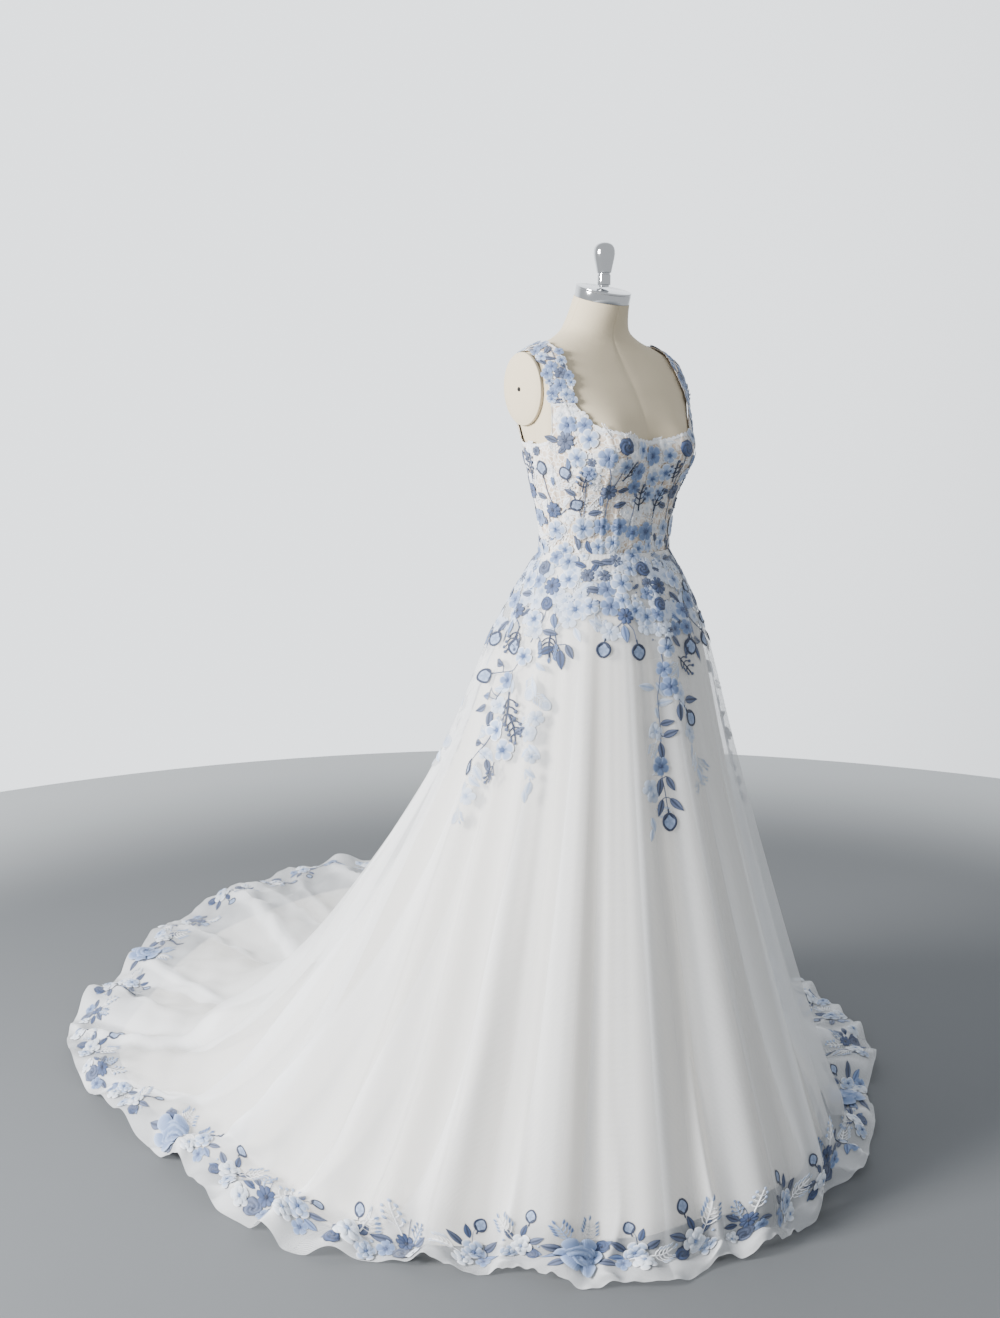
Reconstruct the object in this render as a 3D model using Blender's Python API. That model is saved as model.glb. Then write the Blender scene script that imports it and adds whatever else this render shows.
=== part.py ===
"""A-line wedding dress with a floor train, worn by a limbless dress form on a stand.

Metres, +Z up. The origin is on the floor, on the axis of the stand's pole. The dress faces -Y,
its wearer's right is at -X and its train lies along +Y. Angles run round the pole from the front
(0 degrees, -Y) towards the wearer's left (90 degrees, +X) and on to the back (180 degrees, +Y).
"""

import math

import bmesh
import bpy
import numpy as np
from mathutils.bvhtree import BVHTree

# Heights of the dress
WAIST_Z = 1.100
FORM_BOTTOM_Z = 0.755
NECK_TOP_Z = 1.518

# Cloth walls and the gaps between pieces
SEAM_GAP = 0.0003
BODICE_CLEARANCE = 0.0032
BODICE_WALL = 0.0014
TULLE_WALL = 0.0011
LINING_WALL = 0.0013
TRIM_GAP = 0.0005
SHARP_ANGLE = math.radians(50)

# The form's cross-sections: two half ovals that share a width
FORM_SECTIONS = (
    # height, half width, front depth, back depth, middle's shift to the back, roundness
    (0.755, 0.160, 0.104, 0.120, 0.000, 1.00),
    (0.815, 0.167, 0.108, 0.130, 0.000, 1.00),
    (0.900, 0.169, 0.106, 0.133, 0.000, 1.00),
    (0.965, 0.158, 0.100, 0.122, 0.000, 1.00),
    (1.035, 0.136, 0.092, 0.102, 0.000, 1.00),
    (1.100, 0.117, 0.087, 0.084, 0.000, 1.00),
    (1.146, 0.120, 0.091, 0.084, 0.000, 1.00),
    (1.206, 0.133, 0.100, 0.091, 0.000, 1.00),
    (1.266, 0.147, 0.112, 0.101, 0.000, 0.97),
    (1.316, 0.154, 0.108, 0.106, 0.004, 0.88),
    (1.366, 0.161, 0.091, 0.101, 0.012, 0.76),
    (1.401, 0.162, 0.074, 0.085, 0.020, 0.74),
    (1.424, 0.153, 0.063, 0.073, 0.025, 0.82),
    (1.441, 0.122, 0.055, 0.065, 0.028, 0.92),
    (1.456, 0.086, 0.050, 0.058, 0.030, 1.00),
    (1.471, 0.062, 0.048, 0.055, 0.028, 1.00),
    (1.494, 0.052, 0.047, 0.051, 0.021, 1.00),
    (1.518, 0.047, 0.046, 0.048, 0.013, 1.00),
)
BUST_HEIGHT = 1.268
BUST_HALF_SPAN = 0.078
BUST_PROJECTION = 0.034
BUST_WIDTH = 0.047
BUST_TALLNESS = 0.050
ARMHOLE_PLANE_X = 0.1510
ARMHOLE_HEIGHT = 1.371
ARMHOLE_LEAN = 0.06
NECK_TILT = math.radians(16)
NECK_TILT_START = 1.456
FORM_COLUMNS = 42
FORM_RINGS = (
    0.755, 0.815, 0.880, 0.940, 1.000, 1.055, 1.100, 1.135, 1.170, 1.200, 1.226, 1.248,
    1.268, 1.288, 1.311, 1.338, 1.366, 1.392, 1.412, 1.428, 1.442, 1.456, 1.472, 1.494,
    1.518,
)

# The bodice: seam angles between its panels, and the height of its top edge round the body
PANEL_SEAMS = {"centre_front": 28.0, "side_front": 60.0, "side_back": 120.0, "centre_back": 180.0}
TOP_EDGE = (
    # angle, height
    (0, 1.283),
    (10, 1.286),
    (20, 1.292),
    (36, 1.304),
    (41, 1.317),
    (44, 1.334),
    (46, 1.345),
    (64, 1.345),
    (67, 1.324),
    (70, 1.298),
    (75, 1.283),
    (88, 1.279),
    (101, 1.281),
    (113, 1.290),
    (118, 1.304),
    (122, 1.328),
    (126, 1.345),
    (144, 1.345),
    (148, 1.326),
    (155, 1.285),
    (164, 1.251),
    (173, 1.235),
    (180, 1.232),
)
PANEL_ROWS = 10
WIDEST_COLUMN = 10.0
FRONT_STRAP_ANGLES = (46.0, 64.0)
BACK_STRAP_ANGLES = (144.0, 126.0)
STRAP_OVER_SHOULDER_X = (0.116, 0.145)
STRAP_PIVOT_Z = 1.330
STRAP_TURNS = (20.0, 161.0)
STRAP_ROWS = 15
STRAP_COLUMNS = 4
STRAP_WALL = 0.0016
STRAP_CLEARANCE = 0.0033

# Boning channels, raised in the panels' outer points
BONE_ANGLES = (8.0, 22.0, 34.0, 53.0, 74.0, 90.0, 108.0, 132.0, 152.0, 167.0)
BONE_WIDTH = 0.007
BONE_RISE = 0.0012

# The strip that covers the zip down the centre back
ZIP_STRIP_WIDTH = 0.012
ZIP_STRIP_WALL = 0.0011

# The skirt's rings, as the radius in eight directions; the two last rings follow the hem
RING_DIRECTIONS = (0, 45, 90, 135, 180, 225, 270, 315)
SKIRT_RINGS = (
    # height, front, front left, left, back left, back, back right, right, front right
    (1.0997, None, None, None, None, None, None, None, None),
    (1.050, 0.124, 0.136, 0.146, 0.139, 0.128, 0.139, 0.146, 0.136),
    (0.965, 0.160, 0.170, 0.180, 0.182, 0.176, 0.182, 0.180, 0.170),
    (0.750, 0.212, 0.222, 0.240, 0.268, 0.284, 0.268, 0.240, 0.222),
    (0.500, 0.276, 0.285, 0.318, 0.402, 0.455, 0.402, 0.318, 0.285),
    (0.250, 0.345, 0.352, 0.405, 0.570, 0.680, 0.550, 0.400, 0.350),
    (0.080, 0.398, 0.404, 0.500, 0.760, 0.930, 0.690, 0.480, 0.404),
)
FLOOR_RINGS = (
    # height, share of the way from the last ring above to the hem
    (0.012, 0.30),
    (0.008, 0.75),
    (0.0012, 1.0),
)
HEM_OUTLINE = (
    # angle, radius
    (0, 0.435),
    (28, 0.442),
    (51, 0.500),
    (75, 0.600),
    (92, 0.760),
    (112, 0.940),
    (132, 1.220),
    (150, 1.600),
    (165, 1.800),
    (180, 1.680),
    (192, 1.480),
    (202, 1.320),
    (218, 1.140),
    (234, 0.870),
    (251, 0.710),
    (266, 0.665),
    (281, 0.545),
    (298, 0.480),
    (320, 0.458),
    (342, 0.455),
    (360, 0.435),
)
TULLE_ROWS = (0.0, 0.55, 1.2, 2.0, 2.8, 3.6, 4.4, 5.1, 5.8, 6.4, 7.0, 7.6, 8.3, 9.0)
LINING_ROWS = (0.0, 0.08, 0.17, 0.29, 0.41, 0.53, 0.64, 0.74, 0.82, 0.88, 0.94, 1.0)
LINING_FRONT_END = 6.25
LINING_BACK_END = 8.0
WAIST_RISE = 0.0022

# The tulle's folds: where each crest stands and how far it rises at the ankle
FOLDS = (
    # crest angle, rise
    (-168, 0.040), (-154, 0.050), (-142, 0.042), (-129, 0.046), (-114, 0.062), (-96, 0.034),
    (-84, 0.026), (-71, 0.030), (-47, 0.038), (-26, 0.030), (1, 0.034), (23, 0.028),
    (39, 0.022), (55, 0.036), (68, 0.026), (82, 0.038), (96, 0.030), (108, 0.052),
    (121, 0.038), (133, 0.046), (145, 0.038), (157, 0.046), (168, 0.036), (179, 0.042),
)
FOLD_GROWTH = (0.0, 0.06, 0.15, 0.34, 0.60, 0.88, 1.0, 0.85, 0.65, 0.45)
FOLD_TILT = (0, 0, 2, 5, 10, 18, 30, 50, 72, 88)
LINING_INSET = (0.0007, 0.0026, 0.0045, 0.009, 0.013, 0.016, 0.014, 0.0095, 0.0066, 0.0030)
LINING_WAVES = 14
LINING_WAVE_DEPTH = 0.012
LINING_STEPS_PER_WAVE = 4

# Neck cap, knob, arm plates, pole and base
CAP_RADIUS = 0.0475
CAP_HEIGHT = 0.018
KNOB_PROFILE = (
    # height above the cap, radius
    (0.0000, 0.0085),
    (0.0030, 0.0085),
    (0.0034, 0.0112),
    (0.0200, 0.0112),
    (0.0205, 0.0100),
    (0.0225, 0.0100),
    (0.0235, 0.0125),
    (0.0390, 0.0155),
    (0.0540, 0.0182),
    (0.0640, 0.0172),
    (0.0700, 0.0125),
    (0.0730, 0.0060),
)
ARM_PLATE_HALF_HEIGHT = 0.060
ARM_PLATE_HALF_DEPTH = 0.052
ARM_PLATE_THICKNESS = 0.007
ARM_PLATE_DOME = 0.005
ARM_PLATE_BACK_SHIFT = 0.026
ARM_SCREW_RADIUS = 0.0030
ARM_SCREW_RISE = 0.0015
POLE_RADIUS = 0.0175
BASE_RADIUS = 0.195
BASE_EDGE_HEIGHT = 0.012
BASE_HUB_RADIUS = 0.034
BASE_HUB_HEIGHT = 0.040

COLOURS = {
    # base colour, roughness, metallic
    "form_cover": ((0.80, 0.72, 0.60), 0.85, 0.0),
    "chrome": ((0.78, 0.79, 0.80), 0.12, 1.0),
    "stand_metal": ((0.16, 0.16, 0.17), 0.45, 1.0),
    "bodice_lace": ((0.86, 0.82, 0.77), 0.80, 0.0),
    "lining_cloth": ((0.90, 0.87, 0.82), 0.55, 0.0),
    "tulle": ((0.90, 0.92, 0.95), 0.90, 0.0),
}


def material(name):
    """The Principled material of this name, made once."""
    found = bpy.data.materials.get(name)
    if found:
        return found
    made = bpy.data.materials.new(name)
    made.use_nodes = True
    colour, roughness, metallic = COLOURS[name]
    shader = made.node_tree.nodes["Principled BSDF"]
    shader.inputs["Base Color"].default_value = (*colour, 1.0)
    shader.inputs["Roughness"].default_value = roughness
    shader.inputs["Metallic"].default_value = metallic
    return made


def add_object(name, points, faces, finish):
    """A mesh object from points and faces, with its normals facing out."""
    mesh = bpy.data.meshes.new(name)
    mesh.from_pydata([tuple(p) for p in points], [], [tuple(f) for f in faces])
    shape = bmesh.new()
    shape.from_mesh(mesh)
    bmesh.ops.recalc_face_normals(shape, faces=shape.faces)
    if shape.calc_volume(signed=True) < 0:
        bmesh.ops.reverse_faces(shape, faces=shape.faces)
    shape.to_mesh(mesh)
    shape.free()
    mesh.shade_smooth()
    mesh.set_sharp_from_angle(angle=SHARP_ANGLE)
    mesh.materials.append(material(finish))
    made = bpy.data.objects.new(name, mesh)
    bpy.context.scene.collection.objects.link(made)
    return made


def through(places, values, at):
    """Values at new places, on a smooth curve through the given ones that never overshoots."""
    places = np.asarray(places, float)
    values = np.asarray(values, float)
    at = np.clip(np.asarray(at, float), places[0], places[-1])
    step = np.diff(places)
    slope = np.diff(values) / step
    tangent = np.zeros_like(values)
    same_way = slope[:-1] * slope[1:] > 0
    mean = 2 * slope[:-1] * slope[1:] / np.where(same_way, slope[:-1] + slope[1:], 1.0)
    tangent[1:-1] = np.where(same_way, mean, 0.0)
    tangent[0], tangent[-1] = slope[0], slope[-1]
    k = np.clip(np.searchsorted(places, at, side="right") - 1, 0, len(step) - 1)
    t = (at - places[k]) / step[k]
    return (
        (1 + 2 * t) * (1 - t) ** 2 * values[k]
        + t * (1 - t) ** 2 * step[k] * tangent[k]
        + t * t * (3 - 2 * t) * values[k + 1]
        + t * t * (t - 1) * step[k] * tangent[k + 1]
    )


def unit(vectors):
    """The vectors at length 1."""
    return vectors / np.maximum(np.linalg.norm(vectors, axis=-1, keepdims=True), 1e-12)


def moved_out(surface, first, second, distance, small=1e-4):
    """Points of a surface(first, second), moved along its outward normal."""
    point = surface(first, second)
    along_first = surface(first + small, second) - surface(first - small, second)
    along_second = surface(first, second + small) - surface(first, second - small)
    normal = unit(np.cross(along_first, along_second))
    return point + normal * np.asarray(distance)[..., None]


# The form

def form_surface(angle, height):
    """The form's surface at an angle, in radians, and a height."""
    table = np.array(FORM_SECTIONS)
    columns = (through(table[:, 0], table[:, k], height) for k in range(1, table.shape[1]))
    width, front, back, shift, roundness = columns
    sideways, forward = np.sin(angle), np.cos(angle)
    x = width * np.sign(sideways) * np.abs(sideways) ** roundness
    depth = np.where(forward > 0, front, back)
    y = shift - depth * np.sign(forward) * np.abs(forward) ** roundness
    apart = (np.abs(x) - BUST_HALF_SPAN) / BUST_WIDTH
    above = (height - BUST_HEIGHT) / BUST_TALLNESS
    y = y - BUST_PROJECTION * np.exp(-apart**2 - above**2) * np.clip(forward, 0, 1) ** 0.5
    side_plane = ARMHOLE_PLANE_X + ARMHOLE_LEAN * (height - ARMHOLE_HEIGHT)
    x = np.clip(x, -side_plane, side_plane)
    tilt = np.clip((height - NECK_TILT_START) / (NECK_TOP_Z - NECK_TILT_START), 0, 1)
    return np.stack([x, y, height + y * math.tan(NECK_TILT) * tilt], axis=-1)


def loft(name, rings, finish):
    """A closed solid through rings of points, capped at both ends."""
    rings = np.asarray(rings)
    count, columns = rings.shape[:2]
    faces = [
        (r * columns + c, r * columns + (c + 1) % columns,
         (r + 1) * columns + (c + 1) % columns, (r + 1) * columns + c)
        for r in range(count - 1)
        for c in range(columns)
    ]
    faces.append(tuple(range(columns)))
    faces.append(tuple(range((count - 1) * columns, count * columns)))
    return add_object(name, rings.reshape(-1, 3), faces, finish)


def make_form():
    """The padded torso, whole and smooth from the thighs to the neck."""
    angles = np.linspace(0, 2 * math.pi, FORM_COLUMNS, endpoint=False)
    rings = [form_surface(angles, np.full_like(angles, z)) for z in FORM_RINGS]
    return loft("form_torso", rings, "form_cover")


def turned(name, profile, finish, columns=24):
    """A closed solid turned about the Z axis from (height, radius) rows."""
    angles = np.linspace(0, 2 * math.pi, columns, endpoint=False)
    rings = [
        np.stack([r * np.sin(angles), -r * np.cos(angles), np.full_like(angles, z)], axis=-1)
        for z, r in profile
    ]
    return loft(name, rings, finish)


def make_neck():
    """The tilted chrome cap on the neck, and the knob that stands on it."""
    cap = turned(
        "neck_cap",
        (
            (0.0, CAP_RADIUS),
            (CAP_HEIGHT - 0.001, CAP_RADIUS),
            (CAP_HEIGHT, CAP_RADIUS - 0.0012),
        ),
        "chrome",
        columns=36,
    )
    cap.rotation_euler.x = NECK_TILT
    lift = SEAM_GAP / math.cos(NECK_TILT)
    back = FORM_SECTIONS[-1][4]
    cap.location = (0.0, back, NECK_TOP_Z + back * math.tan(NECK_TILT) + lift)
    knob = turned("neck_knob", KNOB_PROFILE, "chrome", columns=18)
    middle = cap.location.y - CAP_HEIGHT * math.sin(NECK_TILT)
    high_edge = KNOB_PROFILE[0][1] * math.tan(NECK_TILT)
    top = cap.location.z + CAP_HEIGHT * math.cos(NECK_TILT)
    knob.location = (0.0, middle, top + high_edge + SEAM_GAP)


def make_arm_plate(side, sign):
    """The domed oval plate over one armhole, and the screw at its middle."""
    columns = 28
    angles = np.linspace(0, 2 * math.pi, columns, endpoint=False)
    rows = (
        # share of the outline, distance from the armhole
        (0.985, 0.0),
        (1.000, 0.0012),
        (1.000, ARM_PLATE_THICKNESS - 0.0015),
        (0.960, ARM_PLATE_THICKNESS),
        (0.620, ARM_PLATE_THICKNESS + 0.62 * ARM_PLATE_DOME),
        (0.250, ARM_PLATE_THICKNESS + 0.95 * ARM_PLATE_DOME),
    )
    lean = math.atan(ARMHOLE_LEAN)
    plane_x = ARMHOLE_PLANE_X + SEAM_GAP / math.cos(lean)

    def place(depth, height, out):
        x = plane_x + height * math.sin(lean) + out * math.cos(lean)
        z = ARMHOLE_HEIGHT + height * math.cos(lean) - out * math.sin(lean)
        return np.stack([sign * x, depth + ARM_PLATE_BACK_SHIFT, z], axis=-1)

    rings = [
        place(
            share * ARM_PLATE_HALF_DEPTH * np.cos(angles),
            share * ARM_PLATE_HALF_HEIGHT * np.sin(angles),
            np.full_like(angles, out),
        )
        for share, out in rows
    ]
    loft(f"arm_plate_{side}", rings, "form_cover")
    top = rows[-1][1] + SEAM_GAP
    small = np.linspace(0, 2 * math.pi, 12, endpoint=False)
    screw = [
        place(
            share * ARM_SCREW_RADIUS * np.cos(small),
            share * ARM_SCREW_RADIUS * np.sin(small),
            np.full_like(small, out),
        )
        for share, out in ((1.0, top), (1.0, top + 0.6 * ARM_SCREW_RISE), (0.6, top + ARM_SCREW_RISE))
    ]
    loft(f"arm_screw_{side}", screw, "stand_metal")


def make_stand():
    """The round floor base and the pole that carries the form."""
    turned(
        "stand_base",
        (
            (0.0, BASE_RADIUS),
            (BASE_EDGE_HEIGHT * 0.7, BASE_RADIUS),
            (BASE_EDGE_HEIGHT, BASE_RADIUS - 0.006),
            (BASE_EDGE_HEIGHT + 0.006, BASE_HUB_RADIUS + 0.02),
            (BASE_HUB_HEIGHT, BASE_HUB_RADIUS),
        ),
        "stand_metal",
        columns=40,
    )
    turned(
        "stand_pole",
        (
            (BASE_HUB_HEIGHT + SEAM_GAP, POLE_RADIUS),
            (FORM_BOTTOM_Z - SEAM_GAP, POLE_RADIUS),
        ),
        "stand_metal",
    )


# Cloth walls

def wall(name, outer, inner, finish):
    """A closed sheet between two grids of points, with a rim round its four edges."""
    outer, inner = np.asarray(outer), np.asarray(inner)
    rows, columns = outer.shape[:2]
    other = rows * columns

    def index(r, c):
        return r * columns + c

    faces = []
    for r in range(rows - 1):
        for c in range(columns - 1):
            # Both sides of the wall share the shorter diagonal, so a warped stretch stays as thick.
            quad = [index(r, c), index(r, c + 1), index(r + 1, c + 1), index(r + 1, c)]
            falling = np.linalg.norm(outer[r, c] - outer[r + 1, c + 1])
            rising = np.linalg.norm(outer[r, c + 1] - outer[r + 1, c])
            if rising < falling:
                quad = quad[1:] + quad[:1]
            for corners in (quad[:3], [quad[0], *quad[2:]]):
                faces.append(tuple(corners))
                faces.append(tuple(other + k for k in reversed(corners)))
    edge = [index(0, c) for c in range(columns)]
    edge += [index(r, columns - 1) for r in range(1, rows)]
    edge += [index(rows - 1, c) for c in range(columns - 2, -1, -1)]
    edge += [index(r, 0) for r in range(rows - 2, 0, -1)]
    for here, there in zip(edge, edge[1:] + edge[:1]):
        faces.append((there, here, other + here, other + there))
    points = np.concatenate([outer.reshape(-1, 3), inner.reshape(-1, 3)])
    return add_object(name, points, faces, finish)


def body_point(angle, height, out):
    """A point outside the form by a distance."""
    return moved_out(form_surface, np.asarray(angle, float), np.asarray(height, float), out)


def top_edge(angle):
    """The height of the bodice's top edge at an angle, in radians."""
    table = np.array(TOP_EDGE, float)
    turned_to = np.abs((np.degrees(angle) + 180) % 360 - 180)
    return through(table[:, 0], table[:, 1], turned_to)


def bodice_grid(angles, rows, out):
    """Points from the waist to the top edge, at the given angles."""
    share = np.linspace(0, 1, rows)[:, None]
    height = WAIST_Z + share * (top_edge(angles)[None, :] - WAIST_Z)
    across = np.broadcast_to(angles[None, :], height.shape)
    return body_point(across, height, np.broadcast_to(out, height.shape))


def panel_columns(start, end):
    """Column angles of one panel, in degrees: its bones, its edge's corners and those between."""
    half = math.degrees(BONE_WIDTH / 2 / 0.125)
    columns = [start, end]
    for middle in (*BONE_ANGLES, *(-a for a in BONE_ANGLES)):
        if start < middle - half and middle + half < end:
            columns += [middle - half, middle, middle + half]
    for corner in {sign * angle for angle, _ in TOP_EDGE for sign in (1, -1)}:
        if start < corner < end and min(abs(corner - c) for c in columns) > half:
            columns.append(corner)
    columns.sort()
    filled = [start]
    for here, there in zip(columns, columns[1:]):
        steps = math.ceil((there - here) / WIDEST_COLUMN)
        filled += [here + (there - here) * (k + 1) / steps for k in range(steps)]
    return np.array(filled)


def bone_rise(angle):
    """How far the outer points at an angle, in degrees, are raised for a boning channel."""
    nearest = min(abs(abs(angle) - middle) for middle in BONE_ANGLES)
    return BONE_RISE if nearest < 0.01 else 0.0


def make_panel(name, start, end):
    """One bodice panel between two seam angles, in degrees."""
    trim = math.degrees(SEAM_GAP / 2 / 0.12)
    columns = panel_columns(start + trim, end - trim)
    rise = np.array([bone_rise(a) for a in columns])
    angles = np.radians(columns)
    inner = bodice_grid(angles, PANEL_ROWS, BODICE_CLEARANCE)
    outer = bodice_grid(angles, PANEL_ROWS, BODICE_CLEARANCE + BODICE_WALL + rise)
    return wall(name, outer, inner, "bodice_lace")


def make_bodice():
    """The seven panels of the bodice."""
    seams = PANEL_SEAMS
    pieces = (
        # piece, first seam, last seam
        ("front", seams["centre_front"], seams["side_front"]),
        ("side", seams["side_front"], seams["side_back"]),
        ("back", seams["side_back"], seams["centre_back"]),
    )
    make_panel("bodice_front_centre", -seams["centre_front"], seams["centre_front"])
    for side, sign in (("left", 1), ("right", -1)):
        for piece, first, last in pieces:
            start, end = sorted((sign * first, sign * last))
            make_panel(f"bodice_{piece}_{side}", start, end)


def make_zip_strip():
    """The narrow strip over the concealed zip, on the two back panels' own points."""
    half = ZIP_STRIP_WIDTH / 2 / 0.1
    edge = SEAM_GAP / 2 / 0.12
    angles = math.pi + np.array([-half, -edge, edge, half])
    low = BODICE_CLEARANCE + BODICE_WALL + TRIM_GAP
    inner, outer = (bodice_grid(angles, PANEL_ROWS, out) for out in (low, low + ZIP_STRIP_WALL))
    wall("zip_strip", outer, inner, "bodice_lace")


def grid_normals(grid):
    """The unit normal at each point of a grid, from its neighbours."""
    down, across = np.gradient(grid, axis=0), np.gradient(grid, axis=1)
    return unit(np.cross(down, across))


def pushed_off(point, tree, least):
    """A point moved out of a surface until it lies at least a distance from it."""
    hit, normal, _, _ = tree.find_nearest(point)
    gap = float(np.dot(point - np.array(hit), normal))
    return point + np.array(normal) * max(0.0, least - gap)


def make_strap(side, sign, form):
    """A strap from the bodice's front edge over the shoulder to its back edge."""
    tree = BVHTree.FromObject(form, bpy.context.evaluated_depsgraph_get())
    shares = np.linspace(0, 1, STRAP_COLUMNS)
    ends = {
        "front": np.radians(np.interp(shares, (0, 1), FRONT_STRAP_ANGLES)),
        "back": np.radians(np.interp(shares, (0, 1), BACK_STRAP_ANGLES)),
    }
    shoulder_x = np.interp(shares, (0, 1), STRAP_OVER_SHOULDER_X)

    def join_row(end, distance):
        angles = ends[end]
        row = body_point(angles, top_edge(angles) + SEAM_GAP, np.full(STRAP_COLUMNS, distance))
        return row * [sign, 1, 1]

    def shoulder_row(turn):
        # A row's places run from the front join over the shoulder's top to the back join.
        end = "front" if turn < math.pi / 2 else "back"
        join_x = np.abs(join_row(end, 0.0)[:, 0])
        row = []
        for x in join_x + (shoulder_x - join_x) * math.sin(turn) ** 1.5:
            start = (sign * x, -math.cos(turn), STRAP_PIVOT_Z + math.sin(turn))
            hit, normal, _, _ = tree.ray_cast(start, (0.0, math.cos(turn), -math.sin(turn)))
            row.append(np.array(hit) + np.array(normal) * STRAP_CLEARANCE)
        return row

    turns = np.radians(np.linspace(*STRAP_TURNS, STRAP_ROWS))
    first, last = (join_row(end, BODICE_CLEARANCE) for end in ("front", "back"))
    middle = np.array([shoulder_row(turn) for turn in turns])
    for _ in range(2):
        padded = np.concatenate([first[None], middle, last[None]])
        middle = 0.25 * padded[:-2] + 0.5 * padded[1:-1] + 0.25 * padded[2:]
        flat = [pushed_off(point, tree, STRAP_CLEARANCE) for point in middle.reshape(-1, 3)]
        middle = np.array(flat).reshape(middle.shape)
    inner = np.concatenate([first[None], middle, last[None]])
    outer = inner - sign * STRAP_WALL * grid_normals(inner)
    outer[0], outer[-1] = (join_row(e, BODICE_CLEARANCE + STRAP_WALL) for e in ("front", "back"))
    wall(f"strap_{side}", outer, inner, "bodice_lace")


# The skirt

def waist_radius(angle):
    """The form's waist radius in a direction, with the bodice's clearance."""
    table = np.array(FORM_SECTIONS)
    width, front, back = (float(through(table[:, 0], table[:, k], WAIST_Z)) for k in (1, 2, 3))
    depth = np.where(np.cos(angle) > 0, front, back)
    radius = 1 / np.sqrt((np.sin(angle) / width) ** 2 + (np.cos(angle) / depth) ** 2)
    return radius + BODICE_CLEARANCE + BODICE_WALL + WAIST_RISE


def ring_radius(row, angle):
    """The radius of one table row in a direction: a wave through its eight radii."""
    if row[1] is None:
        return waist_radius(angle)
    known = np.radians(RING_DIRECTIONS)
    half = len(known) // 2
    weights = np.fft.rfft(np.array(row[1:], float)) / half
    weights[[0, half]] /= 2
    turns = np.multiply.outer(angle, np.arange(half + 1))
    return np.cos(turns) @ weights.real - np.sin(turns) @ weights.imag


def hem_radius(angle):
    """The hem's radius in a direction, with its small uneven waves."""
    table = np.array(HEM_OUTLINE, float)
    outline = through(table[:, 0], table[:, 1], np.degrees(angle) % 360)
    return outline + 0.010 * np.sin(9 * angle + 0.6) + 0.008 * np.sin(17 * angle + 2.1)


def skirt_base(angle, place):
    """The smooth skirt under its folds: place runs from 0 at the waist to 9 at the hem."""
    angle, place = np.broadcast_arrays(np.asarray(angle, float), np.asarray(place, float))
    heights = [row[0] for row in (*SKIRT_RINGS, *FLOOR_RINGS)]
    numbers = np.arange(len(heights))
    rings = [ring_radius(row, angle) for row in SKIRT_RINGS]
    to_hem = hem_radius(angle) - rings[-1]
    radii = np.stack(rings + [rings[-1] + share * to_hem for _, share in FLOOR_RINGS])
    k = np.clip(place.astype(int), 0, len(heights) - 2)
    before, after = np.maximum(k - 1, 0), np.minimum(k + 2, len(heights) - 1)
    take = lambda n: np.take_along_axis(radii, n[None], axis=0)[0]
    t = place - k
    start_slope = (take(k + 1) - take(before)) / (k + 1 - before)
    end_slope = (take(after) - take(k)) / (after - k)
    radius = (
        (1 + 2 * t) * (1 - t) ** 2 * take(k)
        + t * (1 - t) ** 2 * start_slope
        + t * t * (3 - 2 * t) * take(k + 1)
        + t * t * (t - 1) * end_slope
    )
    height = through(numbers, heights, place)
    return np.stack([radius * np.sin(angle), -radius * np.cos(angle), height], axis=-1)


def off_skirt(angle, place, distance):
    """A point outside the smooth skirt by a distance: its places run downwards, so it is less."""
    return moved_out(skirt_base, angle, place, -np.asarray(distance, float))


def fold_rise(angle):
    """The height of the tulle's folds at an angle: full on a crest and none in a trough."""
    crests = np.radians([row[0] for row in FOLDS])
    rises = np.array([row[1] for row in FOLDS])
    turn = (np.asarray(angle, float) - crests[0]) % (2 * math.pi) + crests[0]
    crests = np.append(crests, crests[0] + 2 * math.pi)
    rises = np.append(rises, rises[0])
    k = np.clip(np.searchsorted(crests, turn, side="right") - 1, 0, len(crests) - 2)
    share = (turn - crests[k]) / (crests[k + 1] - crests[k])
    rise = np.where(share < 0.5, rises[k], rises[k + 1])
    return rise * (0.5 + 0.5 * np.cos(2 * math.pi * share)) ** 1.2


def growth(place):
    """How much of a fold's full rise there is at a place down the skirt."""
    return through(np.arange(len(FOLD_GROWTH)), FOLD_GROWTH, place)


def on_floor(points, lowest):
    """Points with none below the lowest height."""
    points = points.copy()
    points[..., 2] = np.maximum(points[..., 2], lowest)
    return points


def folded(angle, place):
    """The tulle's outer surface: its folds rise sideways on the skirt and upwards on the floor."""
    angle, place = np.broadcast_arrays(np.asarray(angle, float), np.asarray(place, float))
    rise = fold_rise(angle) * growth(place)
    tilt = np.radians(through(np.arange(len(FOLD_TILT)), FOLD_TILT, place))
    away = rise * np.cos(tilt)
    return skirt_base(angle, place) + np.stack(
        [away * np.sin(angle), -away * np.cos(angle), rise * np.sin(tilt)], axis=-1
    )


def fold_columns(start, end):
    """Column angles between two seams: each crest, trough and the flanks between them."""
    crests = [math.radians(row[0]) for row in FOLDS]
    crests.append(crests[0] + 2 * math.pi)
    stations = [
        here + (there - here) * part
        for here, there in zip(crests, crests[1:])
        for part in (0.0, 0.25, 0.5, 0.75)
    ]
    turns = sorted((a - start) % (2 * math.pi) + start for a in stations)
    least = math.radians(1.2)
    inside = [a for a in turns if start + least < a < end - least]
    return np.array([start, *inside, end])


def seam_trim(place, angle):
    """The angle that half a seam gap takes up at each place."""
    point = skirt_base(angle, place)
    return SEAM_GAP / 2 / np.hypot(point[..., 0], point[..., 1])


def skirt_pieces():
    """The name and the two seam angles of each skirt piece."""
    quarter = math.pi / 2
    return (
        ("front", -quarter, quarter),
        ("back_left", quarter, 2 * quarter),
        ("back_right", -2 * quarter, -quarter),
    )


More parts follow.
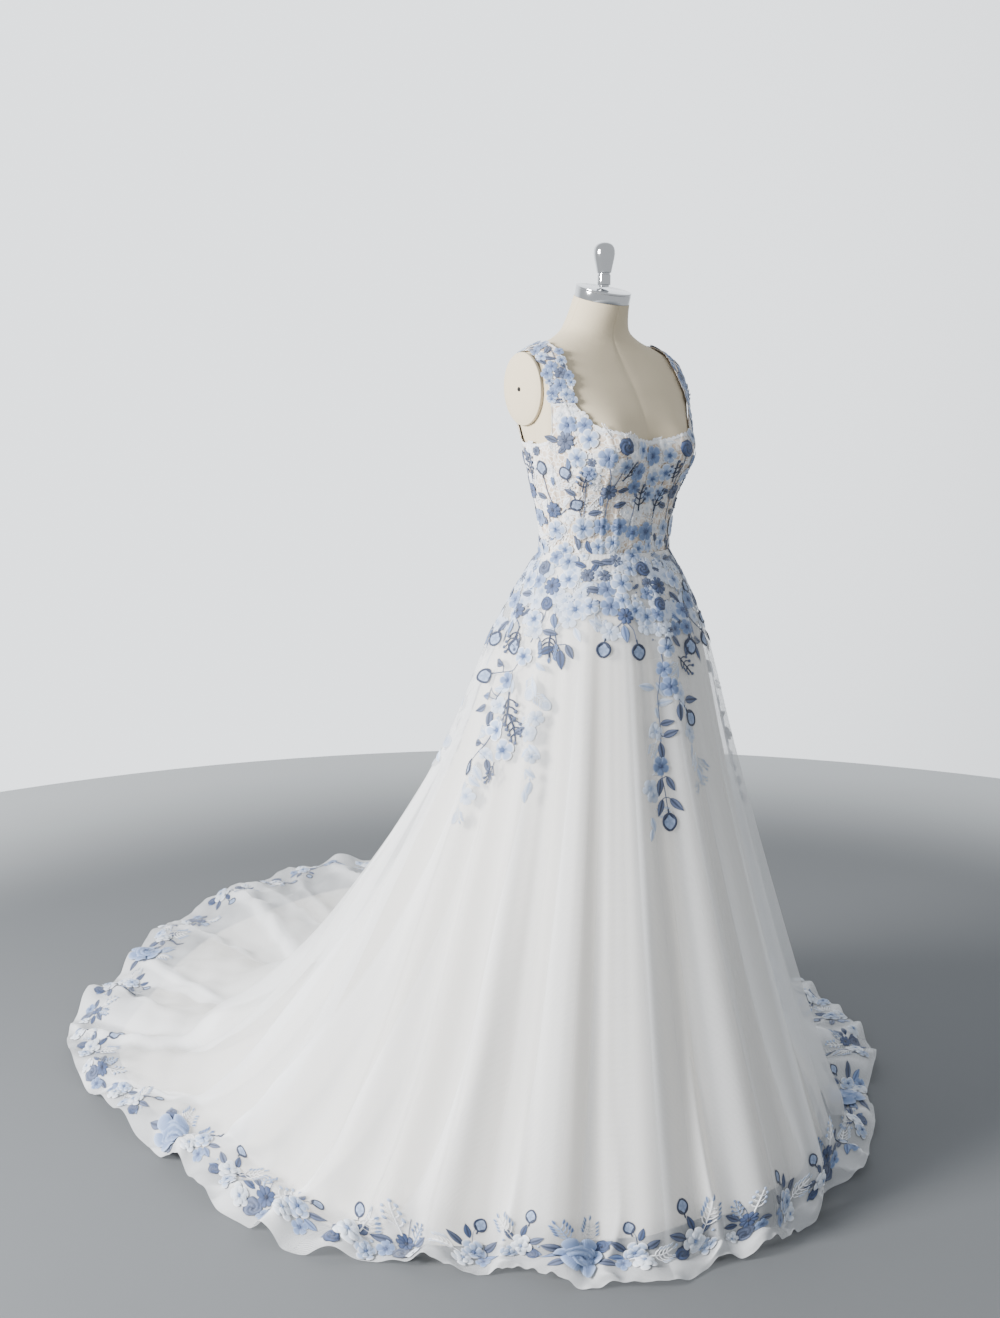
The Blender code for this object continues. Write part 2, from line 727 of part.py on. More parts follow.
def trimmed(columns, places):
    """A grid of angles whose two edge columns stand back from the seams."""
    angle = np.broadcast_to(columns[None, :], (len(places), len(columns))).copy()
    angle[:, 0] += seam_trim(places, np.full(len(places), columns[0]))
    angle[:, -1] -= seam_trim(places, np.full(len(places), columns[-1]))
    return angle


def make_tulle():
    """The folded tulle overskirt in a front and two back pieces."""
    places = np.array(TULLE_ROWS)
    for name, start, end in skirt_pieces():
        angle = trimmed(fold_columns(start, end), places)
        place = np.broadcast_to(places[:, None], angle.shape)
        outer = on_floor(folded(angle, place), TULLE_WALL)
        inner = on_floor(moved_out(folded, angle, place, np.full(angle.shape, TULLE_WALL)), 0.0)
        wall(f"tulle_{name}", outer, inner, "tulle")


def lining_surface(angle, place, inset):
    """The lining inside the smooth skirt, with its own soft waves."""
    wave = 0.5 - 0.5 * np.cos(LINING_WAVES * angle + 0.4)
    depth = LINING_WAVE_DEPTH * wave * np.clip((place - 1.5) / 4, 0, 1)
    distance = -(through(np.arange(len(LINING_INSET)), LINING_INSET, place) + depth + inset)
    return off_skirt(angle, place, distance)


def make_lining():
    """The opaque lining in a front and two back pieces, shorter than the tulle all round."""
    share = np.array(LINING_ROWS)
    for name, start, end in skirt_pieces():
        waves = LINING_WAVES * (end - start) / (2 * math.pi)
        columns = np.linspace(start, end, round(waves * LINING_STEPS_PER_WAVE) + 1)
        angle = trimmed(columns, share * LINING_FRONT_END)
        backward = 0.5 - 0.5 * np.cos(angle)
        last = LINING_FRONT_END + (LINING_BACK_END - LINING_FRONT_END) * backward
        place = share[:, None] * last
        outer = on_floor(lining_surface(angle, place, TULLE_WALL), LINING_WALL)
        inner = on_floor(lining_surface(angle, place, TULLE_WALL + LINING_WALL), 0.0)
        wall(f"lining_{name}", outer, inner, "lining_cloth")


def main():
    """Clears the scene and builds every piece."""
    for old in list(bpy.data.objects):
        bpy.data.objects.remove(old)
    form = make_form()
    make_neck()
    for side, sign in (("left", 1), ("right", -1)):
        make_arm_plate(side, sign)
    make_stand()
    make_bodice()
    make_zip_strip()
    for side, sign in (("left", 1), ("right", -1)):
        make_strap(side, sign, form)
    make_tulle()
    make_lining()


main()
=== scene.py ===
"""Looks of a wedding dress with a floor train, worn by a limbless dress form.

Metres, +Z up. The dress faces -Y, its wearer's right is at -X and its train lies along +Y. Angles
run round the stand's pole from the front (0, -Y) towards the wearer's left (a quarter turn, +X).
Places run down the skirt, from 0 at the waist to 9 at the hem.
"""

from __future__ import annotations

import itertools
import logging
import math
import random
from dataclasses import dataclass, field
from enum import Enum
from typing import Callable, Sequence

import bmesh
import bpy
import numpy as np
from mathutils import Matrix, Vector
from mathutils.bvhtree import BVHTree

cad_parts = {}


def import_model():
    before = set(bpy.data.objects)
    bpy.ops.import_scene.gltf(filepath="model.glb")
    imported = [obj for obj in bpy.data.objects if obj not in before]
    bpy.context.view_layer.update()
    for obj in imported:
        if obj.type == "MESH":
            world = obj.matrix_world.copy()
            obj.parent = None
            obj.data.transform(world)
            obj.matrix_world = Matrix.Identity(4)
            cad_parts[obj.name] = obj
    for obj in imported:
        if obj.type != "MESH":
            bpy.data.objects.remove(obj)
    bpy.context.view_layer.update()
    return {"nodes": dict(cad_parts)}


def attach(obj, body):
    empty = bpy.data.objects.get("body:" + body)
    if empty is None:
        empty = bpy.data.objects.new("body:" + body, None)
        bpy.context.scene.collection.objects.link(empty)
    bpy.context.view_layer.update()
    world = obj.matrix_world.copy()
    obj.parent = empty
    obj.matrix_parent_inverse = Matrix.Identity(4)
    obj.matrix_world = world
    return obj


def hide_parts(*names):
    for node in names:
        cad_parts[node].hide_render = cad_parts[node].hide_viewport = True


LOG = logging.getLogger("wedding_dress")
Array = np.ndarray
Colour = Point = tuple[float, float, float]
Rows = tuple[tuple[float, ...], ...]
Material = bpy.types.Material
Node = bpy.types.Node
Piece = bpy.types.Object
Socket = bpy.types.NodeSocket
Tree = bpy.types.NodeTree
BODY = "root"
FULL_TURN = 2 * math.pi
QUARTER = math.pi / 2
SEAM_GAP = 0.0003


# Curves

def hermite(t: Array, start: Array, leave: Array, end: Array, arrive: Array) -> Array:
    """A cubic curve by t from 0 to 1: its two ends, and its slopes as it leaves and arrives."""
    return (
        (1 + 2 * t) * (1 - t) ** 2 * start + t * (1 - t) ** 2 * leave
        + t * t * (3 - 2 * t) * end + t * t * (t - 1) * arrive
    )


def through(places: Sequence[float], values: Sequence[float], at: Array) -> Array:
    """Values on a smooth curve through given ones that never overshoots.

    Args:
        places: Where the values are known, rising.
        values: The known values.
        at: The new places.

    Returns:
        The values at the new places.
    """
    places, values = np.asarray(places, float), np.asarray(values, float)
    at = np.clip(np.asarray(at, float), places[0], places[-1])
    step = np.diff(places)
    slope = np.diff(values) / step
    tangent = np.zeros_like(values)
    same_way = slope[:-1] * slope[1:] > 0
    mean = 2 * slope[:-1] * slope[1:] / np.where(same_way, slope[:-1] + slope[1:], 1.0)
    tangent[1:-1] = np.where(same_way, mean, 0.0)
    tangent[0], tangent[-1] = slope[0], slope[-1]
    k = np.clip(np.searchsorted(places, at, side="right") - 1, 0, len(step) - 1)
    t = (at - places[k]) / step[k]
    return hermite(t, values[k], step[k] * tangent[k], values[k + 1], step[k] * tangent[k + 1])


def down_rows(values: Sequence[float], at: Array) -> Array:
    """A smooth curve through values that stand 1 apart, from 0."""
    return through(np.arange(len(values)), values, at)


def table_curve(table: Rows, at: Array, column: int = 1) -> Array:
    """A smooth curve through one column of a table, by its first column."""
    known = np.array(table, float)
    return through(known[:, 0], known[:, column], at)


def unit(vectors: Array) -> Array:
    """Vectors at length 1."""
    return vectors / np.maximum(np.linalg.norm(vectors, axis=-1, keepdims=True), 1e-12)


def smooth_step(low: float, high: float, value: Array) -> Array:
    """A soft step from 0 at low to 1 at high."""
    t = np.clip((np.asarray(value, float) - low) / (high - low), 0, 1)
    return t * t * (3 - 2 * t)


def centred(angle: Array | float) -> Array | float:
    """An angle brought within half a turn of the front."""
    return (angle + math.pi) % FULL_TURN - math.pi


def rearward(around: Array) -> Array:
    """A share by angle: 0 at the front and 1 at the back."""
    return 0.5 - 0.5 * np.cos(around)


def paired(around: Array, along: Array) -> list[Array]:
    """Two coordinates spread to the same shape."""
    return np.broadcast_arrays(np.asarray(around, float), np.asarray(along, float))


def stacked(*parts: Array) -> Array:
    """Arrays spread to the same shape, beside each other in a new last axis."""
    return np.stack(np.broadcast_arrays(*parts), axis=-1)


def run_along(points: Array) -> Array:
    """The length run from the first of some points to each of them."""
    steps = np.linalg.norm(np.diff(points, axis=-2), axis=-1)
    return np.concatenate([np.zeros((*steps.shape[:-1], 1)), np.cumsum(steps, axis=-1)], axis=-1)


# Surfaces

class Surface:
    """A surface by two coordinates: one round the body, one along it.

    outward is 1 where the second coordinate runs up the body and -1 where it runs down.
    """

    outward = 1.0
    small = 1e-4

    def at(self, around: Array, along: Array) -> Array:
        """The surface's points."""
        raise NotImplementedError

    def slopes(self, around: Array, along: Array) -> tuple[Array, Array]:
        """How the points move with each coordinate."""
        step = self.small
        first = (self.at(around + step, along) - self.at(around - step, along)) / (2 * step)
        second = (self.at(around, along + step) - self.at(around, along - step)) / (2 * step)
        return first, second

    def raised(self, around: Array, along: Array, rise: Array | float) -> Array:
        """Points moved out of the surface by a distance."""
        around, along = paired(around, along)
        normal = unit(np.cross(*self.slopes(around, along))) * self.outward
        return self.at(around, along) + normal * np.asarray(rise)[..., None]

    def near(self, around: Array, along: Array, flat: Array) -> tuple[Array, Array]:
        """The coordinates of points that lie to the right of and up from others.

        Args:
            around: The first coordinate of each middle, of shape (n,).
            along: The second coordinate of each middle, of shape (n,).
            flat: The distances to the right and up, of shape (n, m, 2 or more).

        Returns:
            The two coordinates, each of shape (n, m).
        """
        first, second = self.slopes(around, along)
        right = unit(first)
        lean = np.sum(second * right, axis=-1)
        height = np.linalg.norm(second - lean[:, None] * right, axis=-1)
        step_along = self.outward * flat[..., 1] / height[:, None]
        step_around = flat[..., 0] - lean[:, None] * step_along
        step_around /= np.linalg.norm(first, axis=-1)[:, None]
        return around[:, None] + step_around, along[:, None] + step_along

    def laid(self, around: Array, along: Array, flat: Array) -> Array:
        """Flat shapes, of shape (n, m, 3), laid on the surface: to the right, up and out."""
        return self.raised(*self.near(around, along, flat), flat[..., 2])


@dataclass(frozen=True)
class FormShape(Surface):
    """The dress form's surface by angle and height."""

    sections: Rows = (
        # height, half width, front depth, back depth, middle's shift to the back, roundness
        (0.755, 0.16, 0.104, 0.12, 0.0, 1.0), (0.815, 0.167, 0.108, 0.13, 0.0, 1.0),
        (0.9, 0.169, 0.106, 0.133, 0.0, 1.0), (0.965, 0.158, 0.1, 0.122, 0.0, 1.0),
        (1.035, 0.136, 0.092, 0.102, 0.0, 1.0), (1.1, 0.117, 0.087, 0.084, 0.0, 1.0),
        (1.146, 0.12, 0.091, 0.084, 0.0, 1.0), (1.206, 0.133, 0.1, 0.091, 0.0, 1.0),
        (1.266, 0.147, 0.112, 0.101, 0.0, 0.97), (1.316, 0.154, 0.108, 0.106, 0.004, 0.88),
        (1.366, 0.161, 0.091, 0.101, 0.012, 0.76), (1.401, 0.162, 0.074, 0.085, 0.02, 0.74),
        (1.424, 0.153, 0.063, 0.073, 0.025, 0.82), (1.441, 0.122, 0.055, 0.065, 0.028, 0.92),
        (1.456, 0.086, 0.05, 0.058, 0.03, 1.0), (1.471, 0.062, 0.048, 0.055, 0.028, 1.0),
        (1.494, 0.052, 0.047, 0.051, 0.021, 1.0), (1.518, 0.047, 0.046, 0.048, 0.013, 1.0),
    )
    bust_height: float = 1.268
    bust_half_span: float = 0.078
    bust_projection: float = 0.034
    bust_width: float = 0.047
    bust_tallness: float = 0.050
    armhole_plane_x: float = 0.1510
    armhole_height: float = 1.371
    armhole_lean: float = 0.06
    neck_tilt: float = math.radians(16)
    neck_tilt_start: float = 1.456

    @property
    def bottom(self) -> float:
        """The height of the form's lower end."""
        return self.sections[0][0]

    @property
    def top(self) -> float:
        """The height of the neck's upper end."""
        return self.sections[-1][0]

    def at(self, around: Array, along: Array) -> Array:
        """Points of the form at angles and heights."""
        table = np.array(self.sections)
        columns = (through(table[:, 0], table[:, k], along) for k in range(1, table.shape[1]))
        width, front, back, shift, roundness = columns
        sideways, forward = np.sin(around), np.cos(around)
        x = width * np.sign(sideways) * np.abs(sideways) ** roundness
        depth = np.where(forward > 0, front, back)
        y = shift - depth * np.sign(forward) * np.abs(forward) ** roundness
        apart = (np.abs(x) - self.bust_half_span) / self.bust_width
        above = (along - self.bust_height) / self.bust_tallness
        cup = np.exp(-apart**2 - above**2) * np.clip(forward, 0, 1) ** 0.5
        y = y - self.bust_projection * cup
        side_plane = self.armhole_plane_x + self.armhole_lean * (along - self.armhole_height)
        x = np.clip(x, -side_plane, side_plane)
        tilt = np.clip((along - self.neck_tilt_start) / (self.top - self.neck_tilt_start), 0, 1)
        return np.stack([x, y, along + y * math.tan(self.neck_tilt) * tilt], axis=-1)


@dataclass(frozen=True)
class BodiceShape(Surface):
    """The bodice's outer surface by angle and height, with its raised boning channels."""

    form: FormShape = FormShape()
    waist: float = 1.100
    clearance: float = 0.0032
    wall: float = 0.0014
    bone_degrees: tuple[float, ...] = (8, 22, 34, 53, 74, 90, 108, 132, 152, 167)
    bone_width: float = 0.007
    bone_rise: float = 0.0012
    half_girth: float = 0.125
    edge: Rows = (
        # angle in degrees, height of the top edge
        (0, 1.283), (10, 1.286), (20, 1.292), (36, 1.304), (41, 1.317), (44, 1.334), (46, 1.345),
        (64, 1.345), (67, 1.324), (70, 1.298), (75, 1.283), (88, 1.279), (101, 1.281), (113, 1.29),
        (118, 1.304), (122, 1.328), (126, 1.345), (144, 1.345), (148, 1.326), (155, 1.285), (164, 1.251),
        (173, 1.235), (180, 1.232),
    )

    def top_edge(self, around: Array) -> Array:
        """The height of the top edge at angles."""
        return table_curve(self.edge, np.degrees(np.abs(centred(around))))

    def at(self, around: Array, along: Array) -> Array:
        """Points of the bodice's outside."""
        around, along = paired(around, along)
        side = np.degrees(np.abs(centred(around)))
        away = np.min([np.abs(side - bone) for bone in self.bone_degrees], axis=0)
        share = np.radians(away) * self.half_girth / (self.bone_width / 2)
        rise = self.bone_rise * np.clip(1 - share**4, 0, 1)
        return self.form.raised(around, along, self.clearance + self.wall + rise)


@dataclass(frozen=True)
class SkirtShape(Surface):
    """The smooth skirt under its folds, by angle and place: 0 at the waist, 9 at the hem."""

    outward = -1.0
    bodice: BodiceShape = BodiceShape()
    waist_rise: float = 0.0022
    rise_above: float = 0.05
    flare_above: float = 0.009
    hem_waves: Rows = ((9, 0.010, 0.6), (17, 0.008, 2.1))
    rings: Rows = (
        # height, front, front left, left, back left, back, back right, right, front right
        (1.05, 0.124, 0.136, 0.146, 0.139, 0.128, 0.139, 0.146, 0.136),
        (0.965, 0.16, 0.17, 0.18, 0.182, 0.176, 0.182, 0.18, 0.17),
        (0.75, 0.212, 0.222, 0.24, 0.268, 0.284, 0.268, 0.24, 0.222),
        (0.5, 0.276, 0.285, 0.318, 0.402, 0.455, 0.402, 0.318, 0.285),
        (0.25, 0.345, 0.352, 0.405, 0.57, 0.68, 0.55, 0.4, 0.35),
        (0.08, 0.398, 0.404, 0.5, 0.76, 0.93, 0.69, 0.48, 0.404),
    )
    floor_rings: Rows = (
        # height, share of the way from the last ring above to the hem
        (0.012, 0.3), (0.008, 0.75), (0.0012, 1.0),
    )
    hem: Rows = (
        # angle in degrees, radius
        (0, 0.435), (28, 0.442), (51, 0.5), (75, 0.6), (92, 0.76), (112, 0.94), (132, 1.22), (150, 1.6),
        (165, 1.8), (180, 1.68), (192, 1.48), (202, 1.32), (218, 1.14), (234, 0.87), (251, 0.71),
        (266, 0.665), (281, 0.545), (298, 0.48), (320, 0.458), (342, 0.455), (360, 0.435),
    )

    @property
    def heights(self) -> list[float]:
        """The height at each whole place."""
        return [self.bodice.waist - SEAM_GAP] + [row[0] for row in (*self.rings, *self.floor_rings)]

    def waist_radius(self, around: Array) -> Array:
        """The waist's radius in a direction."""
        sections, waist = self.bodice.form.sections, self.bodice.waist
        width, front, back = (float(table_curve(sections, waist, k)) for k in (1, 2, 3))
        depth = np.where(np.cos(around) > 0, front, back)
        radius = 1 / np.sqrt((np.sin(around) / width) ** 2 + (np.cos(around) / depth) ** 2)
        return radius + self.bodice.clearance + self.bodice.wall + self.waist_rise

    @staticmethod
    def ring_radius(row: tuple[float, ...], around: Array) -> Array:
        """The radius of one ring in a direction: a wave through its radii at even steps."""
        half = (len(row) - 1) // 2
        weights = np.fft.rfft(np.array(row[1:], float)) / half
        weights[[0, half]] /= 2
        turns = np.multiply.outer(around, np.arange(half + 1))
        return np.cos(turns) @ weights.real - np.sin(turns) @ weights.imag

    def hem_radius(self, around: Array) -> Array:
        """The hem's radius in a direction, with its small uneven waves."""
        waves = sum(depth * np.sin(n * around + phase) for n, depth, phase in self.hem_waves)
        return table_curve(self.hem, np.degrees(around) % 360) + waves

    def at(self, around: Array, along: Array) -> Array:
        """Points of the smooth skirt; above the waist it carries on up the bodice."""
        around, along = paired(around, along)
        above, along = np.maximum(-along, 0), np.maximum(along, 0)
        rings = [self.waist_radius(around)] + [self.ring_radius(row, around) for row in self.rings]
        to_hem = self.hem_radius(around) - rings[-1]
        radii = np.stack(rings + [rings[-1] + share * to_hem for _, share in self.floor_rings])
        k = np.clip(along.astype(int), 0, len(radii) - 2)
        before, after = np.maximum(k - 1, 0), np.minimum(k + 2, len(radii) - 1)

        def take(row: Array) -> Array:
            return np.take_along_axis(radii, row[None], axis=0)[0]

        leave = (take(k + 1) - take(before)) / (k + 1 - before)
        arrive = (take(after) - take(k)) / (after - k)
        radius = hermite(along - k, take(k), leave, take(k + 1), arrive) + self.flare_above * above
        height = down_rows(self.heights, along) + self.rise_above * above
        return stacked(radius * np.sin(around), -radius * np.cos(around), height)

    def near(self, around: Array, along: Array, flat: Array) -> tuple[Array, Array]:
        """The coordinates of points to the right of and up from others, measured down the cloth."""
        first, second = self.slopes(around, along)
        reach = np.linalg.norm(first, axis=-1)[:, None]
        slant = -np.sum(unit(first) * unit(second), axis=-1)[:, None]
        climb = flat[..., 1] / np.sqrt(1 - slant**2)
        places = np.linspace(-0.6, 9, 241)
        found = np.empty(flat.shape[:2])
        for k, row in enumerate(run_along(self.at(around[:, None], places[None]))):
            here = np.interp(along[k], places, row)
            found[k] = np.interp(here - climb[k], row, places)
        return around[:, None] + (flat[..., 0] - climb * slant) / reach, found

    def place_at_height(self, height: float) -> float:
        """The place down the skirt at a height above the floor's rings."""
        places = np.linspace(0, 6, 601)
        return float(np.interp(-height, -down_rows(self.heights, places), places))

    def place_from_hem(self, around: float, distance: float) -> float:
        """The place that lies a distance up the skirt from the hem, at an angle."""
        places = np.linspace(9, 4, 251)
        run = run_along(self.at(np.full(places.shape, around), places))
        return float(np.interp(distance, run, places))


@dataclass(frozen=True)
class SkirtCloth(Surface):
    """A cloth on the smooth skirt's form."""

    outward = -1.0
    base: SkirtShape = SkirtShape()

    def near(self, around: Array, along: Array, flat: Array) -> tuple[Array, Array]:
        """The coordinates of points to the right of and up from others, measured down the skirt."""
        return self.base.near(around, along, flat)


@dataclass(frozen=True)
class TulleShape(SkirtCloth):
    """The tulle's outer surface: long folds, and the finer gathers and crumples between them."""

    folds: Rows = (
        # crest angle in degrees, rise at the ankle
        (-168, 0.04), (-154, 0.05), (-142, 0.042), (-129, 0.046), (-114, 0.062), (-96, 0.034), (-84, 0.026),
        (-71, 0.03), (-47, 0.038), (-26, 0.03), (1, 0.034), (23, 0.028), (39, 0.022), (55, 0.036),
        (68, 0.026), (82, 0.038), (96, 0.03), (108, 0.052), (121, 0.038), (133, 0.046), (145, 0.038),
        (157, 0.046), (168, 0.036), (179, 0.042),
    )
    growth: tuple[float, ...] = (0.0, 0.06, 0.15, 0.34, 0.60, 0.88, 1.0, 0.85, 0.65, 0.45)
    tilt: tuple[float, ...] = (0, 0, 2, 5, 10, 18, 30, 50, 72, 88)
    lowest: float = 0.0012
    gathers: int = 104
    gather_depth: float = 0.0004
    ripples: tuple[tuple[float, float, float, float], ...] = (
        # waves round the skirt, depth at the ankle, phase, drift down the skirt
        (19, 0.004, 0.4, 0.9), (31, 0.0026, 2.0, 1.4), (53, 0.0011, 4.1, 2.1), (89, 0.0004, 1.2, 2.6),
    )
    crumples: tuple[tuple[float, float, float, float], ...] = (
        # heading in degrees, waves in a metre, depth, phase
        (12, 5.3, 0.005, 0.3), (63, 7.9, 0.0042, 1.9), (118, 10.7, 0.003, 4.4), (151, 15.1, 0.002, 2.7),
        (35, 21.0, 0.0013, 5.1),
    )
    flutter_depth: float = 0.008
    flutter_waves: tuple[int, ...] = (29, 53, 89)
    train_ripple: float = 1.6
    ridge_scale: float = 1.35
    soft_floor: float = 0.004
    ridges: tuple[tuple[float, float, float, float, float], ...] = (
        # angle in degrees, rise, width in degrees, place where it starts, sway in degrees
        (-84, 0.01, 2.2, 5.2, 2), (-97, 0.016, 2.0, 5.6, -2), (-106, 0.012, 1.5, 6.2, 1),
        (-117, 0.02, 2.2, 5.0, 3), (-124, 0.011, 1.3, 6.4, -2), (-133, 0.018, 1.8, 5.7, 2),
        (-139, 0.01, 1.1, 6.6, 1), (-148, 0.022, 1.7, 5.2, -3), (-155, 0.012, 1.1, 6.3, 2),
        (-162, 0.018, 1.5, 5.8, 1), (-171, 0.014, 1.2, 6.5, -2), (-178, 0.02, 1.4, 5.4, 2),
        (173, 0.011, 1.0, 6.2, 1), (166, 0.019, 1.4, 5.6, -2), (158, 0.012, 1.2, 6.4, 2),
        (151, 0.02, 1.6, 5.3, -1), (142, 0.013, 1.3, 6.1, 2), (134, 0.019, 1.9, 5.7, -2),
        (124, 0.012, 1.6, 6.3, 2), (115, 0.018, 2.0, 5.4, 2), (104, 0.012, 1.8, 6.0, -2),
        (93, 0.015, 2.2, 5.5, 2), (80, 0.01, 2.4, 6.0, 1), (60, 0.012, 2.6, 5.2, -2),
        (44, 0.009, 2.2, 5.8, 2), (17, 0.01, 2.4, 4.6, 1), (-12, 0.012, 2.0, 4.2, -1),
        (-36, 0.01, 2.2, 4.8, 2), (-58, 0.012, 2.4, 4.4, 1),
    )
    overlaps: tuple[tuple[float, float, float, float, float], ...] = (
        # angle at the waist and at the hem in degrees, width in degrees, first place, share
        (-64, -84, 9, 1.6, 0.6), (-50, -60, 7, 1.2, 0.5), (-38, -44, 8, 2.2, 0.6), (-26, -24, 6, 1.4, 0.5),
        (-14, -9, 8, 2.6, 0.6), (-3, 6, 7, 1.3, 0.5), (10, 20, 8, 2.0, 0.6), (27, 38, 8, 1.5, 0.6),
        (52, 70, 9, 1.8, 0.6), (76, 98, 9, 2.4, 0.6), (100, 124, 10, 1.8, 0.7), (126, 144, 8, 3.0, 0.7),
        (150, 160, 9, 2.2, 0.7), (172, 176, 9, 2.8, 0.7), (-176, -172, -8, 2.0, 0.6),
        (-156, -160, -9, 2.6, 0.7), (-134, -150, -9, 2.0, 0.7), (-116, -138, 10, 2.8, 0.7),
        (-98, -122, 9, 2.0, 0.7), (-82, -106, 9, 3.0, 0.7),
    )

    def fullness(self, around: Array, along: Array) -> Array:
        """How far the net is doubled: along the ridges and where one fold laps over the next."""
        around, along = paired(around, along)
        full = 0.85 * np.clip(self.ridge_rise(around, along) / 0.018, 0, 1) ** 2
        for top, hem, width, start, share in self.overlaps:
            edge = np.radians(top + (hem - top) * smooth_step(0.5, 8.5, along))
            past = np.degrees(centred(around - edge)) * np.sign(width)
            lap = smooth_step(-0.3, 0.3, past) * np.exp(-np.maximum(past, 0) / abs(width) * 2)
            full = np.maximum(full, share * lap * smooth_step(start, start + 2.5, along))
        gathered = 0.5 * np.exp(-along / 0.8)
        return np.clip(np.maximum(full, gathered), 0, 1)

    def fold_rise(self, around: Array) -> Array:
        """The rise of the long folds at angles: full on a crest and none in a trough."""
        crests, rises = np.radians([row[0] for row in self.folds]), [row[1] for row in self.folds]
        turn = (np.asarray(around, float) - crests[0]) % FULL_TURN + crests[0]
        crests, rises = np.append(crests, crests[0] + FULL_TURN), np.append(rises, rises[0])
        k = np.clip(np.searchsorted(crests, turn, side="right") - 1, 0, len(crests) - 2)
        share = (turn - crests[k]) / (crests[k + 1] - crests[k])
        rise = np.where(share < 0.5, rises[k], rises[k + 1])
        return rise * (0.5 + 0.5 * np.cos(FULL_TURN * share)) ** 1.2

    def fine_rise(self, around: Array, along: Array) -> Array:
        """The rise of the gathers under the waist and of the ripples between the folds."""
        gathered = self.gather_depth * np.exp(-along / 0.9) * smooth_step(0.0, 0.25, along)
        rise = gathered * np.sin(self.gathers * around + 1.5 * np.sin(7 * around))
        in_train = self.train_ripple * rearward(around) * smooth_step(5.0, 7.6, along)
        grown = smooth_step(0.5, 6.0, along) * (1 + in_train)
        for waves, depth, phase, drift in self.ripples:
            patch = 0.55 + 0.45 * np.sin(3 * around + phase + 0.7 * along)
            bend = 0.8 * np.sin(drift * along / 2 + phase)
            rise = rise + grown * depth * patch * np.sin(waves * around + phase + bend)
        return rise

    def ridge_rise(self, around: Array, along: Array) -> Array:
        """The rise of the narrow ridges that run from the knee to the hem, mostly in the train."""
        rise = np.zeros(np.shape(around))
        for middle, height, width, start, sway in self.ridges:
            bend = np.radians(sway) * np.sin(1.7 * (along - start))
            away = centred(around - math.radians(middle) - bend)
            grown = smooth_step(start, start + 1.8, along) * (1 - 0.45 * smooth_step(8.2, 9, along))
            shape = np.exp(-np.abs(away / math.radians(width)) ** 1.5)
            rise = rise + self.ridge_scale * height * grown * shape
        return rise

    def crumple(self, points: Array, along: Array) -> Array:
        """The height that the cloth's crumples add where it lies on the floor."""
        height = np.zeros(points.shape[:-1])
        for heading, waves, depth, phase in self.crumples:
            cosine, sine = math.cos(math.radians(heading)), math.sin(math.radians(heading))
            run = points[..., 0] * cosine + points[..., 1] * sine
            cross = points[..., 1] * cosine - points[..., 0] * sine
            wander = 0.9 * np.sin(3.1 * cross + phase)
            height = height + depth * np.sin(FULL_TURN * waves * run + wander + phase)
        return height * smooth_step(5.6, 7.4, along)

    def flutter(self, around: Array, along: Array) -> Array:
        """The lift of the small waves along the hem."""
        lift = 0.0
        for k, n in enumerate(self.flutter_waves):
            wave = np.sin(n * around + 0.7 * n + 1.6 * np.sin((5 + k) * around))
            lift = lift + wave * (0.6 + 0.4 * np.sin((3 + k) * around))
        return self.flutter_depth * np.clip(0.25 + 0.5 * lift, 0, None) * smooth_step(8.1, 9, along)

    def at(self, around: Array, along: Array) -> Array:
        """Points of the tulle's outside; what would sink under the floor levels out above it."""
        around, along = paired(around, along)
        rise = self.fold_rise(around) * down_rows(self.growth, along)
        rise = rise + self.fine_rise(around, along) + self.ridge_rise(around, along)
        tilt = np.radians(down_rows(self.tilt, along))
        away = rise * np.cos(tilt)
        moved = stacked(away * np.sin(around), -away * np.cos(around), rise * np.sin(tilt))
        points = self.base.at(around, along) + moved
        lift = self.crumple(points, along) + self.flutter(around, along)
        height, soft = points[..., 2] + lift - self.lowest, self.soft_floor
        level = soft * np.exp(np.minimum(height / soft - 1, 0))
        points[..., 2] = self.lowest + np.where(height > soft, height, level)
        return points


@dataclass(frozen=True)
class LiningShape(SkirtCloth):
    """The satin lining's outer surface inside the smooth skirt."""

    inset: tuple[float, ...] = (
        0.0007, 0.0026, 0.0045, 0.009, 0.013, 0.016, 0.014, 0.0095, 0.0066, 0.0030,
    )
    waves: int = 14
    wave_depth: float = 0.012
    tulle_wall: float = 0.0011
    lowest: float = 0.0010
    front_end: float = 6.25
    back_end: float = 8.0

    def last_place(self, around: Array) -> Array:
        """The place of the lining's lower edge at angles."""
        return self.front_end + (self.back_end - self.front_end) * rearward(around)

    def at(self, around: Array, along: Array) -> Array:
        """Points of the lining's outside."""
        around, along = paired(around, along)
        depth = self.wave_depth * rearward(self.waves * around + 0.4) * np.clip((along - 1.5) / 4, 0, 1)
        fine = 0.0012 * np.sin(37 * around + 1.1 * np.sin(along)) * smooth_step(1.0, 5.0, along)
        inset = down_rows(self.inset, along) + depth + self.tulle_wall
        points = self.base.raised(around, along, fine - inset)
        points[..., 2] = np.maximum(points[..., 2], self.lowest)
        return points


@dataclass(frozen=True)
class StrapSizes:
    """The sizes of a strap."""

    front_degrees: tuple[float, float] = (46.0, 64.0)
    back_degrees: tuple[float, float] = (144.0, 126.0)
    shoulder_x: tuple[float, float] = (0.116, 0.145)
    pivot: float = 1.330
    turns: tuple[float, float] = (20.0, 161.0)
    rows: int = 15
    columns: int = 4
    wall: float = 0.0016
    clearance: float = 0.0033


